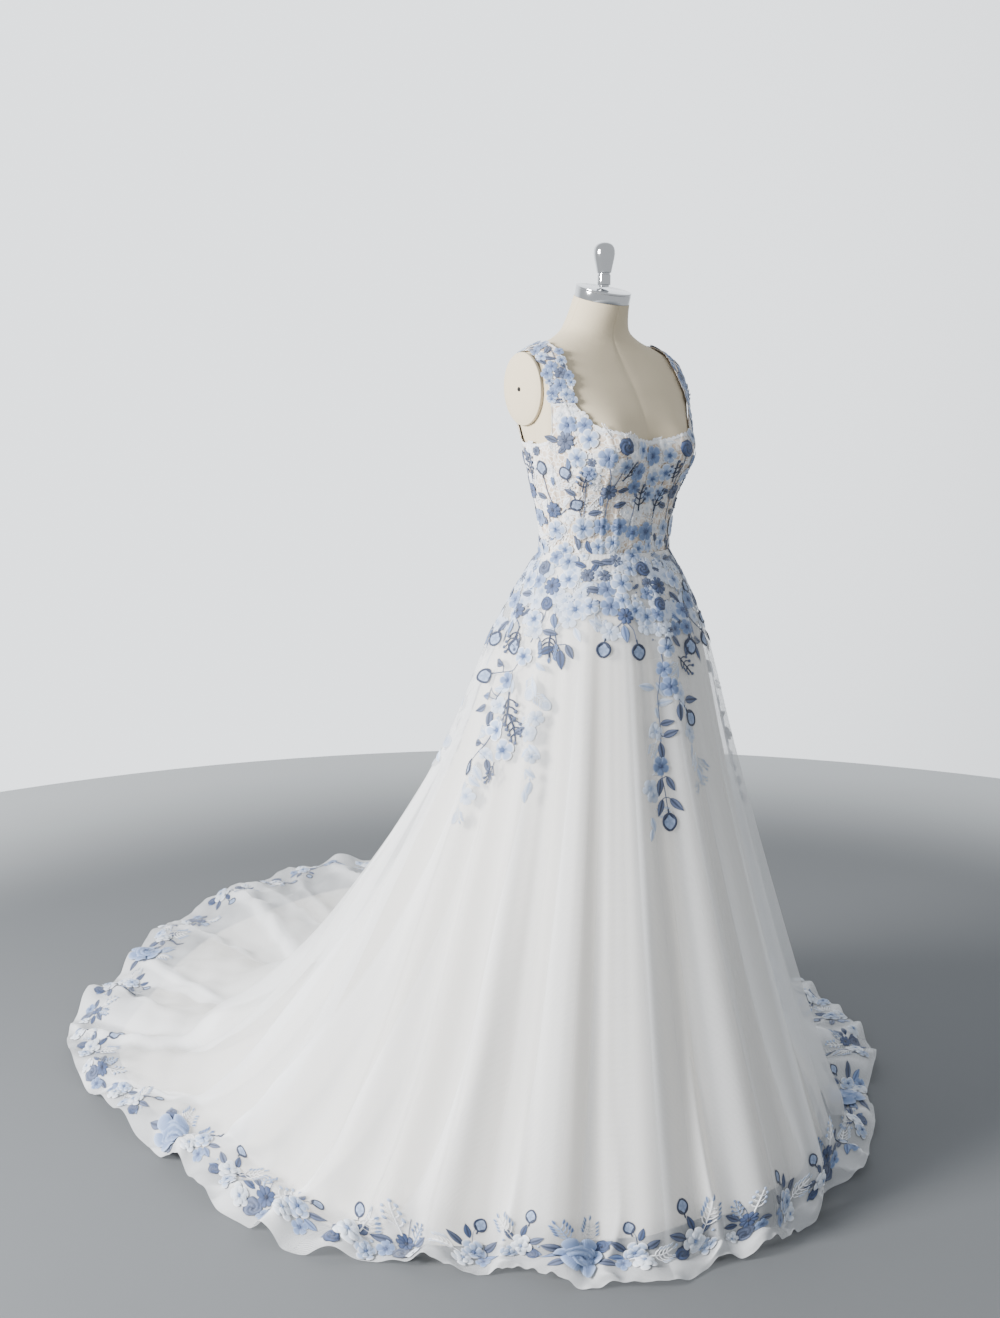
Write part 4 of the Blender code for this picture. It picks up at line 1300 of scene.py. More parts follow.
@dataclass
class Bodice:
    """The seven boned lace panels, the strip over the zip and the two straps."""

    shape: BodiceShape = BodiceShape()
    panels: tuple[tuple[str, float, float], ...] = (
        # piece, first and last seam in degrees
        ("front_centre", -28, 28),
        ("front_left", 28, 60),
        ("front_right", -60, -28),
        ("side_left", 60, 120),
        ("side_right", -120, -60),
        ("back_left", 120, 180),
        ("back_right", -180, -120),
    )
    column_degrees: float = 0.55
    rows: int = 44
    panel_wall: float = 0.0011
    strip_half_width: float = 0.006
    strip_clearance: float = 0.0005
    strip_wall: float = 0.0010
    straps: StrapSizes = StrapSizes()

    def grid_places(self, angles: Array) -> tuple[Array, Array]:
        """The angles and heights of a grid from the waist to the top edge."""
        share = np.linspace(0, 1, self.rows)[:, None]
        height = self.shape.waist + share * (self.shape.top_edge(angles)[None, :] - self.shape.waist)
        return np.broadcast_to(angles, height.shape), height

    def panel(self, name: str, start: float, end: float) -> tuple[Piece, Array]:
        """One panel between two seams, and its grid of points."""
        trim = math.degrees(SEAM_GAP / 2 / 0.12)
        columns = round((end - start) / self.column_degrees)
        angles = np.radians(np.linspace(start + trim, end - trim, columns + 1))
        grid = self.shape.at(*self.grid_places(angles))
        return cloth_mesh(f"bodice_lace_{name}", grid, 1.0, self.panel_wall), grid

    def zip_strip(self) -> tuple[Piece, Array]:
        """The narrow strip over the concealed zip down the centre back, with its grid."""
        half = self.strip_half_width / 0.1
        angles = math.pi + np.linspace(-half, half, 9)
        rise = self.strip_clearance + self.strip_wall * np.sqrt(1 - np.linspace(-0.9, 0.9, 9) ** 2)
        grid = self.shape.raised(*self.grid_places(angles), rise)
        return cloth_mesh("zip_cover_strip", grid, 1.0, self.strip_wall * 0.5), grid

    def strap_shapes(self, form_node: Piece) -> dict[str, StrapShape]:
        """The surfaces of the two straps, laid over the form's solid while it still shows."""
        tree = BVHTree.FromObject(form_node, bpy.context.evaluated_depsgraph_get())
        signs = {"left": 1, "right": -1}
        return {side: StrapShape(sign, tree, self.shape, self.straps) for side, sign in signs.items()}

    def strap(self, side: str, shape: StrapShape) -> tuple[Piece, Array]:
        """One strap, with its grid."""
        grid = shape.at(*np.meshgrid(np.linspace(0, 1, 15), np.linspace(0, 1, 90)))
        return cloth_mesh(f"strap_lace_{side}", grid, shape.outward, self.straps.wall * 0.8), grid

    def build(self, finishes: Finishes, shapes: dict[str, StrapShape]) -> None:
        """Makes and dresses the bodice's pieces.

        Args:
            finishes: The materials.
            shapes: Each strap's surface, by side.
        """
        look = ("lace", "bodice_lace")
        for name, start, end in self.panels:
            panel = self.panel(name, start, end)
            worn(*panel, finishes, look, f"bodice_{name}", "stretched", "torso_cover")
        worn(*self.zip_strip(), finishes, look, "zip_strip", "stretched", "bodice_lace_back_left")
        for side, shape in shapes.items():
            worn(*self.strap(side, shape), finishes, look, f"strap_{side}", "draped", "torso_cover")


@dataclass
class Skirt:
    """The satin lining and the tulle over it, each in a front and two back pieces."""

    tulle: TulleShape = TulleShape()
    lining: LiningShape = LiningShape()
    pieces: tuple[tuple[str, float, float, int], ...] = (
        # piece, first and last seam in degrees, columns
        ("front", -90, 90, 400),
        ("back_left", 90, 180, 330),
        ("back_right", -180, -90, 300),
    )
    tulle_rows: int = 120
    lining_rows: int = 90
    lining_column_share: float = 0.42

    def grid_angles(self, start: float, end: float, columns: int, places: Array) -> Array:
        """The angles of a piece's grid, with its edges standing back from the seams."""
        edges = []
        for seam, way in ((math.radians(start), 1), (math.radians(end), -1)):
            points = self.tulle.base.at(np.full(places.shape, seam), places)
            edges.append((seam + way * SEAM_GAP / 2 / np.hypot(points[..., 0], points[..., 1]))[:, None])
        return edges[0] + (edges[1] - edges[0]) * np.linspace(0, 1, columns + 1)[None, :]

    def build(self, finishes: Finishes) -> None:
        """Makes and dresses the skirt's pieces."""
        for name, start, end, columns in self.pieces:
            self.build_lining(finishes, name, start, end, round(columns * self.lining_column_share))
            self.build_tulle(finishes, name, start, end, columns)

    def build_tulle(self, finishes: Finishes, name: str, start: float, end: float, columns: int) -> None:
        """Makes one tulle piece, closer rows towards the waist and the hem."""
        share = np.linspace(0, 1, self.tulle_rows)
        places = 9 * (share + 0.03 * np.sin(FULL_TURN * share))
        angles = self.grid_angles(start, end, columns, places)
        grid = self.tulle.at(angles, places[:, None])
        piece = cloth_mesh(f"tulle_skirt_{name}", grid, self.tulle.outward)
        layer = piece.data.attributes.new("fullness", "FLOAT", "POINT")
        layer.data.foreach_set("value", self.tulle.fullness(angles, places[:, None]).ravel())
        look = ("tulle", "tulle")
        worn(piece, grid, finishes, look, f"tulle_{name}", "gathered", f"satin_lining_{name}")

    def build_lining(self, finishes: Finishes, name: str, start: float, end: float, columns: int) -> None:
        """Makes one lining piece."""
        share = np.linspace(0, 1, self.lining_rows)
        angles = self.grid_angles(start, end, columns, share * self.lining.front_end)
        grid = self.lining.at(angles, share[:, None] * self.lining.last_place(angles))
        piece = cloth_mesh(f"satin_lining_{name}", grid, self.lining.outward)
        look = ("satin", "lining_cloth")
        worn(piece, grid, finishes, look, f"lining_{name}", "hung", "torso_cover")


# Embroidery

class Palette(Enum):
    """The three threads of a motif: its body, its edge and its core."""

    PALE = (Tone.ICE, Tone.WHITE, Tone.CORE)
    POWDER = (Tone.POWDER, Tone.ICE, Tone.BLUE)
    DEEP = (Tone.BLUE, Tone.SLATE, Tone.INK)
    MID = (Tone.MIST, Tone.SLATE, Tone.SLATE)
    DARK = (Tone.BLUE, Tone.INK, Tone.MIST)
    LEAF = (Tone.MIST, Tone.SLATE, Tone.INK)
    LEAF_PALE = (Tone.POWDER, Tone.SLATE, Tone.BLUE)
    OUTLINE = (Tone.ICE, Tone.SLATE, Tone.BLUE)
    LACE = (Tone.WHITE, Tone.WHITE, Tone.PEARL)
    FROST = (Tone.PEARL, Tone.WHITE, Tone.POWDER)
    GHOST = (Tone.HAZE, Tone.PEARL, Tone.ICE)


@dataclass
class Motif:
    """One embroidered shape about 1 long: points to the right, up and out, and their threads.

    shares holds each point's share of the palette's body, edge and core threads.
    """

    points: Array
    faces: Array
    shares: Array
    threads: Array

    @staticmethod
    def grid(points: Array, shares: Array, threads: tuple[Array, Array], closed: bool = False) -> Motif:
        """A motif from a grid of points, of shape (rows, columns, 3), faces outwards.

        Args:
            points: The points; each row runs round or across.
            shares: The thread shares, of shape (rows, columns, 3).
            threads: The two stitch coordinates over the grid.
            closed: Whether the last column joins the first.

        Returns:
            The motif.
        """
        index = np.arange(points[..., 0].size).reshape(points.shape[:2])
        if closed:
            index = np.concatenate([index, index[:, :1]], axis=1)
        stitches = np.broadcast_to(stacked(*threads), (*points.shape[:2], 2))
        return Motif(points.reshape(-1, 3), quads_of(index), shares.reshape(-1, 3), stitches.reshape(-1, 2))

    @staticmethod
    def joined(parts: Sequence[Motif]) -> Motif:
        """Several motifs as one."""
        starts = np.cumsum([0] + [len(part.points) for part in parts[:-1]])
        return Motif(
            np.concatenate([part.points for part in parts]),
            np.concatenate([part.faces + start for part, start in zip(parts, starts)]),
            np.concatenate([part.shares for part in parts]),
            np.concatenate([part.threads for part in parts]),
        )

    def moved(self, x: float, y: float, turn: float = 0.0, size: float = 1.0, lift: float = 0.0) -> Motif:
        """The motif scaled, turned anticlockwise by an angle and moved."""
        cosine, sine = math.cos(turn) * size, math.sin(turn) * size
        matrix = np.array([[cosine, sine, 0], [-sine, cosine, 0], [0, 0, size]])
        return Motif(self.points @ matrix + [x, y, lift], self.faces, self.shares, self.threads)

    def recoloured(self, body: float, edge: float, core: float) -> Motif:
        """The motif with the same thread shares all over."""
        shares = np.broadcast_to(np.array([body, edge, core], float), self.shares.shape)
        return Motif(self.points, self.faces, shares, self.threads)


def thread_shares(edge: Array, core: Array) -> Array:
    """Shares of the body, edge and core threads; the body has what the others leave."""
    core = np.clip(core, 0, 1)
    edge = np.clip(edge, 0, 1) * (1 - core)
    return stacked(1 - edge - core, edge, core)


def ringed(reach: Array, angle: Array, height: Array) -> Array:
    """A grid of points in rings about the middle."""
    return stacked(reach * np.sin(angle), reach * np.cos(angle), height)


def blossom(petals: int, notch: float, relief: float, point: float = 0.5, steps: int = 8) -> Motif:
    """A flower seen from above, 1 across.

    Args:
        petals: The number of petals.
        notch: How deep the cuts between the petals are, as a share of the radius.
        relief: The height of the petals.
        point: The power that shapes the petals: 0.5 is round, 1 is pointed.
        steps: The steps round each petal.

    Returns:
        The flower with its raised centre.
    """
    rings = np.array([0.20, 0.30, 0.46, 0.64, 0.80, 0.92, 1.0])[:, None]
    around = np.arange(petals * steps)[None, :] / steps
    within = (around % 1) - 0.5
    rim = 1 - notch + notch * (1 - (2 * np.abs(within)) ** 2) ** point
    radius = 0.5 * rings * (1 + (rim - 1) * rings**1.5)
    cleft = np.clip((np.abs(within) - 0.36) / 0.14, 0, 1)
    height = relief * (np.sin(math.pi * (0.15 + 0.72 * rings)) * (1 - 0.8 * cleft) + 0.15)
    edge = smooth_step(0.86, 1.0, rings) + 0.75 * cleft * smooth_step(0.3, 0.6, rings)
    core = (1 - smooth_step(0.20, 0.50, rings)) * (0.45 + 0.55 * (np.abs(within) < 0.14))
    grid = ringed(radius, around / petals * FULL_TURN, height)
    crown = Motif.grid(grid, thread_shares(edge, core), (around / petals * 3, rings), closed=True)
    return Motif.joined([crown, button(0.13, relief * 1.3, petals * 2).recoloured(0, 0, 1)])


def button(radius: float, height: float, steps: int = 8) -> Motif:
    """A small domed knot of thread."""
    rings = np.array([0.25, 0.72, 1.0])[:, None]
    angle = np.arange(steps)[None, :] / steps * FULL_TURN
    points = ringed(radius * rings, angle, height * np.sqrt(1 - 0.9 * rings**2))
    ring = Motif.grid(points, thread_shares(np.zeros((3, steps)), 0), (angle / 4, rings), closed=True)
    lid = np.array([[0, k + 2, k + 1, k] for k in range(1, steps - 2, 2)])
    return Motif(ring.points, np.concatenate([ring.faces, lid]), ring.shares, ring.threads)


def leaf(width: float, bend: float, relief: float) -> Motif:
    """A pointed leaf from its foot at the origin, 1 long, with a dark edge and midrib."""
    t = np.linspace(0, 1, 10)[:, None]
    s = np.array([-1, -0.74, -0.4, -0.09, 0.09, 0.4, 0.74, 1])[None, :]
    half = width / 2 * np.sin(math.pi * t**0.82) ** 0.85
    midrib = np.abs(s) < 0.1
    height = relief * (1 - s**2) * np.sin(math.pi * np.clip(t, 0.04, 0.98)) - 0.4 * relief * midrib
    points = stacked(bend * 4 * t * (1 - t) + half * s, t, height + relief * 0.2)
    edge = smooth_step(0.70, 0.98, np.abs(s)) + smooth_step(0.86, 1.0, t)
    return Motif.grid(points, thread_shares(edge, midrib * 0.9), (0.9 * t + 0.25 * np.abs(s), s))


def band(path: Array, width: float, relief: float) -> Motif:
    """A cord of thread along a flat path, of shape (n, 2)."""
    way = unit(np.gradient(path, axis=0))
    side = np.stack([way[:, 1], -way[:, 0]], axis=-1) * width / 2
    columns = []
    for share, lift in ((-1, 0.15), (0, 1.0), (1, 0.15)):
        columns.append(np.insert(path + side * share, 2, relief * lift, axis=1))
    shares = thread_shares(np.ones((len(path), 3)), 0)
    return Motif.grid(np.stack(columns, axis=1), shares, (run_along(path)[:, None] * 2, np.arange(3)))


def rose(turns: float, relief: float) -> Motif:
    """A full round rose, 1 across, its petals coiled round each other."""
    rings = np.linspace(0.02, 1, 11)[:, None]
    angle = np.linspace(0, FULL_TURN, 30, endpoint=False)[None, :]
    wave = np.sin(turns * FULL_TURN * rings + 3 * angle)
    reach = rings * 0.5 * (1 + 0.035 * np.sin(7 * angle) * rings**4)
    height = relief * (0.35 + 0.75 * (1 - rings**3) + 0.22 * wave)
    edge = smooth_step(0.1, 0.9, -wave) * 0.85 + smooth_step(0.9, 1.0, rings)
    shares = thread_shares(edge, 1 - smooth_step(0.1, 0.3, rings))
    threads = (angle / FULL_TURN * 3, rings)
    return Motif.grid(ringed(reach, angle, height), shares, threads, closed=True)


def bud(relief: float) -> Motif:
    """An open bud on its foot at the origin, 1 long: a corded ring, pale inside, with sepals."""
    angle = np.linspace(0, FULL_TURN, 22, endpoint=False)
    pinch = 1 + 0.16 * np.clip(np.cos(angle), 0, 1) ** 6
    middle = np.array([0, 0.56])
    outline = middle + stacked(0.34 * np.sin(angle), 0.36 * np.cos(angle) * pinch)
    ring = band(np.concatenate([outline, outline[:1]]), 0.13, relief)
    rings = np.array([0.03, 0.6, 1.0])[:, None]
    inside = middle + (outline - middle) * rings[..., None]
    grid = stacked(inside[..., 0], inside[..., 1], relief * np.array([0.6, 0.5, 0.2])[:, None])
    core = stacked(0.5, 0.25 + 0.2 * np.sin(5 * angle), 0.0).T
    fill = Motif.grid(grid, thread_shares(0, core), (angle / 3, rings), closed=True)
    sepals = [
        leaf(0.42, 0.05 * side, relief).moved(0.04 * side, 0.16, -0.62 * side, 0.40, 0.3 * relief)
        .recoloured(0, 1, 0)
        for side in (-1, 1)
    ]
    foot = band(np.array([[0, -0.05], [0.0, 0.1], [0.0, 0.24]]), 0.10, relief)
    return Motif.joined([fill, ring, *sepals, foot])


def sprig(pairs: int, lean: float, relief: float, end: Motif, end_size: float) -> Motif:
    """A curved sprig from its foot at the origin, 1 long, with a small end on each branch.

    Args:
        pairs: The number of branches on each side.
        lean: How far the sprig bends to the right.
        relief: The height of its cords.
        end: What sits on each branch's end, such as a berry or a small leaf.
        end_size: The size of the ends.

    Returns:
        The sprig.
    """
    t = np.linspace(0, 1, 9)
    parts = [band(stacked(lean * t**2, t * 0.92), 0.060, relief)]
    for k in range(pairs):
        share = 0.22 + 0.68 * k / pairs
        foot, reach = np.array([lean * share**2, share * 0.92]), 0.30 - 0.12 * share
        for side in (-1, 1):
            tip = foot + [side * reach * 0.85, reach * 0.75]
            middle = (foot + tip) / 2 + [side * 0.03, -0.03]
            parts.append(band(np.stack([foot, middle, tip]), 0.048, relief))
            parts.append(end.moved(*tip, -0.6 * side, end_size, relief * 0.5))
    parts.append(end.moved(lean, 0.92, -lean, end_size, relief * 0.5))
    return Motif.joined(parts)


class Kind(Enum):
    """The motifs of the embroidery."""

    FLOWER = "five petals"
    DAISY = "eight petals"
    ROSE = "coiled rose"
    BUD = "ring bud"
    LEAF = "leaf"
    CURVED_LEAF = "curved leaf"
    BERRIES = "berry sprig"
    FERN = "leafy sprig"
    KNOT = "knot"
    RAISED = "raised flower"
    FULL_ROSE = "great rose"


def motif_library() -> dict[Kind, Motif]:
    """Every motif at unit size."""
    over = blossom(5, 0.40, 0.13, 0.6, 6).moved(0, 0, math.pi / 5, 0.72, 0.07)
    coil = rose(2.6, 0.16).moved(0, 0, 0.4, 0.66, 0.06)
    return {
        Kind.FLOWER: blossom(5, 0.30, 0.045),
        Kind.DAISY: blossom(8, 0.26, 0.055, 0.5, 6),
        Kind.ROSE: rose(2.1, 0.07),
        Kind.BUD: bud(0.06),
        Kind.LEAF: leaf(0.44, 0.0, 0.04),
        Kind.CURVED_LEAF: leaf(0.36, 0.11, 0.04),
        Kind.BERRIES: sprig(3, 0.16, 0.035, button(0.5, 0.35).recoloured(0.9, 0.1, 0), 0.125),
        Kind.FERN: sprig(4, -0.14, 0.03, leaf(0.48, 0.03, 0.05), 0.23),
        Kind.KNOT: button(0.5, 0.3),
        Kind.RAISED: Motif.joined([blossom(5, 0.42, 0.10), over]),
        Kind.FULL_ROSE: Motif.joined([blossom(6, 0.30, 0.10), coil]),
    }


USUAL_THREADS = {
    Kind.FLOWER: Palette.PALE, Kind.DAISY: Palette.MID, Kind.ROSE: Palette.DARK,
    Kind.BUD: Palette.OUTLINE, Kind.LEAF: Palette.LEAF, Kind.CURVED_LEAF: Palette.LEAF,
    Kind.BERRIES: Palette.LEAF, Kind.FERN: Palette.PALE, Kind.KNOT: Palette.PALE,
    Kind.RAISED: Palette.FROST, Kind.FULL_ROSE: Palette.POWDER,
}
MotifTable = tuple[tuple[Kind, tuple[tuple, ...]], ...]
MotifRow = tuple[Kind, float, float, float, float, Palette]


def rows_of(table: MotifTable) -> list[MotifRow]:
    """A table's motifs, each with its kind first and its threads last.

    Args:
        table: Each kind with its rows: two coordinates, size, turn and, if not the usual, threads.

    Returns:
        The motifs.
    """
    return [
        (kind, *row[:4], row[4] if len(row) > 4 else USUAL_THREADS[kind])
        for kind, rows in table for row in rows
    ]


@dataclass
class Spot:
    """One motif on a surface: where it lies, its size and turn, and its threads."""

    kind: Kind
    around: float
    along: float
    size: float
    turn: float
    palette: Palette
    lift: float = 0.0


@dataclass
class Sewing:
    """Motifs and stems sewn on one surface, gathered as one mesh."""

    surface: Surface
    library: dict[Kind, Motif]
    rise: float = 0.0006
    shading: float = 0.16
    seed: int = 4
    points: list[Array] = field(default_factory=list)
    faces: list[Array] = field(default_factory=list)
    tones: list[Array] = field(default_factory=list)
    threads: list[Array] = field(default_factory=list)
    count: int = 0

    def add(self, points: Array, faces: Array, tones: Array, threads: Array) -> None:
        """Adds one or more copies of a mesh: points has shape (copies, points, 3)."""
        copies, size = points.shape[:2]
        starts = self.count + np.arange(copies)[:, None, None] * size
        self.points.append(points.reshape(-1, 3))
        self.faces.append((faces[None] + starts).reshape(-1, 4))
        self.tones.append(tones.reshape(-1, 3))
        self.threads.append(threads.reshape(-1, 2))
        self.count += copies * size

    def add_grid(self, points: Array, threads: tuple[Array, Array], tone: Tone) -> None:
        """Adds a grid of points in one thread, with its two stitch coordinates."""
        grid = Motif.grid(points, np.zeros(points.shape), threads)
        tones = np.broadcast_to(np.array(tone.value), grid.points.shape)
        self.add(grid.points[None], grid.faces, tones, grid.threads)

    def sew(self, spots: Sequence[Spot]) -> None:
        """Sews motifs on."""
        shade = random.Random(self.seed + len(spots))
        for kind, motif in self.library.items():
            chosen = [spot for spot in spots if spot.kind is kind]
            if not chosen:
                continue
            rows = [(spot.around, spot.along, spot.size, spot.turn, spot.lift) for spot in chosen]
            around, along, *others = np.array(rows).T
            size, turn, lift = (values[:, None] for values in others)
            x, y, z = (motif.points[None, :, k] for k in range(3))
            right = (x * np.cos(turn) + y * np.sin(turn)) * size
            up = (y * np.cos(turn) - x * np.sin(turn)) * size
            laid = self.surface.laid(around, along, stacked(right, up, z * size + self.rise + lift))
            threads = [[tone.value for tone in spot.palette.value] for spot in chosen]
            light = [1 + self.shading * (2 * shade.random() - 1) for _ in chosen]
            colours = np.array(threads) * np.array(light)[:, None, None]
            tones = np.einsum("mk,nkc->nmc", motif.shares, colours)
            stitches = np.broadcast_to(motif.threads, (len(chosen), *motif.threads.shape))
            self.add(laid, motif.faces, tones, stitches)

    @staticmethod
    def smooth_path(path: Sequence[tuple[float, float]], steps: int) -> Array:
        """A path of (around, along) points with more points between, on a smooth curve."""
        path = np.array(path, float)
        places = np.linspace(0, len(path) - 1, steps * (len(path) - 1) + 1)
        return np.stack([down_rows(path[:, k], places) for k in (0, 1)])

    def stem(self, path: Sequence[tuple[float, float]], width: float, tone: Tone) -> None:
        """Sews a cord along a smooth path of (around, along) points."""
        run = self.smooth_path(path, 10)
        middle, low = (self.surface.raised(*run, self.rise + lift) for lift in (0.45 * width, 0.0))
        way = unit(np.gradient(middle, axis=0))
        side = unit(np.cross(way, unit(middle - low))) * width / 2
        points = np.stack([low - side, middle, low + side], axis=1)
        self.add_grid(points, (run_along(middle)[:, None] * 40, np.arange(3)), tone)

    def footstalks(
        self, spots: Sequence[Spot], stems: Sequence[Sequence[tuple[float, float]]], reach: float
    ) -> None:
        """Ties each leaf, bud and sprig to the stem nearest its foot, with a fine cord.

        Args:
            spots: The motifs.
            stems: The stems' paths.
            reach: The greatest distance of a tie.
        """
        run = np.concatenate([self.smooth_path(stem, 6) for stem in stems], axis=1)
        points = self.surface.at(*run)
        with_feet = (Kind.LEAF, Kind.CURVED_LEAF, Kind.BUD, Kind.BERRIES, Kind.FERN)
        for spot in spots:
            if spot.kind not in with_feet:
                continue
            foot = self.surface.at(np.array([spot.around]), np.array([spot.along]))[0]
            away = np.linalg.norm(points - foot, axis=1)
            if 0.002 < away.min() < reach:
                around, along = run[:, away.argmin()]
                around += round((spot.around - around) / FULL_TURN) * FULL_TURN
                middle = (0.5 * (spot.around + around), 0.46 * spot.along + 0.54 * along)
                self.stem([(around, along), middle, (spot.around, spot.along)], 0.0016, Tone.MIST)

    def made(self, name: str) -> Piece:
        """The embroidery's object."""
        mesh = bpy.data.meshes.new(name)
        faces = np.concatenate(self.faces)
        mesh.from_pydata(np.concatenate(self.points).tolist(), [], faces.tolist())
        tones = np.concatenate(self.tones)
        colour = mesh.color_attributes.new("tone", "FLOAT_COLOR", "POINT")
        colour.data.foreach_set("color", np.insert(tones, 3, 1.0, axis=1).ravel())
        layer = mesh.uv_layers.new(name="stitches")
        layer.data.foreach_set("uv", np.concatenate(self.threads)[faces.ravel()].ravel())
        mesh.shade_smooth()
        return new_object(name, mesh)


@dataclass
class Scatter:
    """Seeded places that keep clear of each other, on a strip of a surface."""

    surface: Surface
    seed: int
    taken: list[tuple[Vector, float]] = field(default_factory=list)

    def __post_init__(self) -> None:
        """Starts the random sequence."""
        self.chance = random.Random(self.seed)

    def keep(self, around: float, along: float, radius: float) -> bool:
        """Takes a place if it is clear of those taken before."""
        point = Vector(self.surface.at(np.array([around]), np.array([along]))[0])
        if any((point - other).length < radius + reach for other, reach in self.taken):
            return False
        self.taken.append((point, radius))
        return True

    def claim(self, spots: Sequence[Spot], share: float) -> None:
        """Marks the places of motifs that were listed."""
        around, along = np.array([(spot.around, spot.along) for spot in spots]).T
        for point, spot in zip(self.surface.at(around, along), spots):
            self.taken.append((Vector(point), spot.size * share))

    def fill(
        self,
        count: int,
        spread: Callable[[random.Random], tuple[float, float]],
        choices: Sequence[tuple[Kind, Palette, float, float]],
        share: float,
    ) -> list[Spot]:
        """Fills free places with motifs.

        Args:
            count: The number of tries.
            spread: Gives a random place.
            choices: Kinds with their palette and least and greatest size in millimetres.
            share: The share of its size that a motif keeps clear round its middle.

        Returns:
            The motifs.
        """
        spots = []
        for _ in range(count):
            around, along = spread(self.chance)
            kind, palette, least, most = self.chance.choice(choices)
            size = self.chance.uniform(least, most) / 1000
            turn = self.chance.uniform(0, FULL_TURN)
            if self.keep(around, along, size * share):
                spots.append(Spot(kind, around, along, size, turn, palette))
        return spots


@dataclass(frozen=True)
class Cluster:
    """A small bunch: motifs and stems about its middle, in millimetres to the right and up.

    Each motif is its place, size, turn to the right in degrees and threads, under its kind.
    """

    motifs: MotifTable
    stems: tuple[Rows, ...] = ()
    stem_width: float = 0.0013

    def sew(self, sewing: Sewing, around: float, along: float, mirror: bool, size: float) -> None:
        """Sews the cluster on.

        Args:
            sewing: The surface's sewing.
            around: The first coordinate of the middle.
            along: The second coordinate of the middle.
            mirror: Whether left and right change places.
            size: How much larger than stated it is.
        """
        side = -1 if mirror else 1
        scale = np.array([side, 1]) * size / 1000

        def laid(flat: Sequence[Sequence[float]]) -> list[tuple[float, float]]:
            middle = np.array([around]), np.array([along])
            places = sewing.surface.near(*middle, (np.array(flat) * scale)[None])
            return list(zip(places[0][0], places[1][0]))

        rows = rows_of(self.motifs)
        sewing.sew([
            Spot(kind, *place, length / 1000 * size, math.radians(turn) * side, palette)
            for (kind, _, _, length, turn, palette), place in zip(rows, laid([row[1:3] for row in rows]))
        ])
        for stem in self.stems:
            sewing.stem(laid(stem), self.stem_width * size, Tone.MIST)


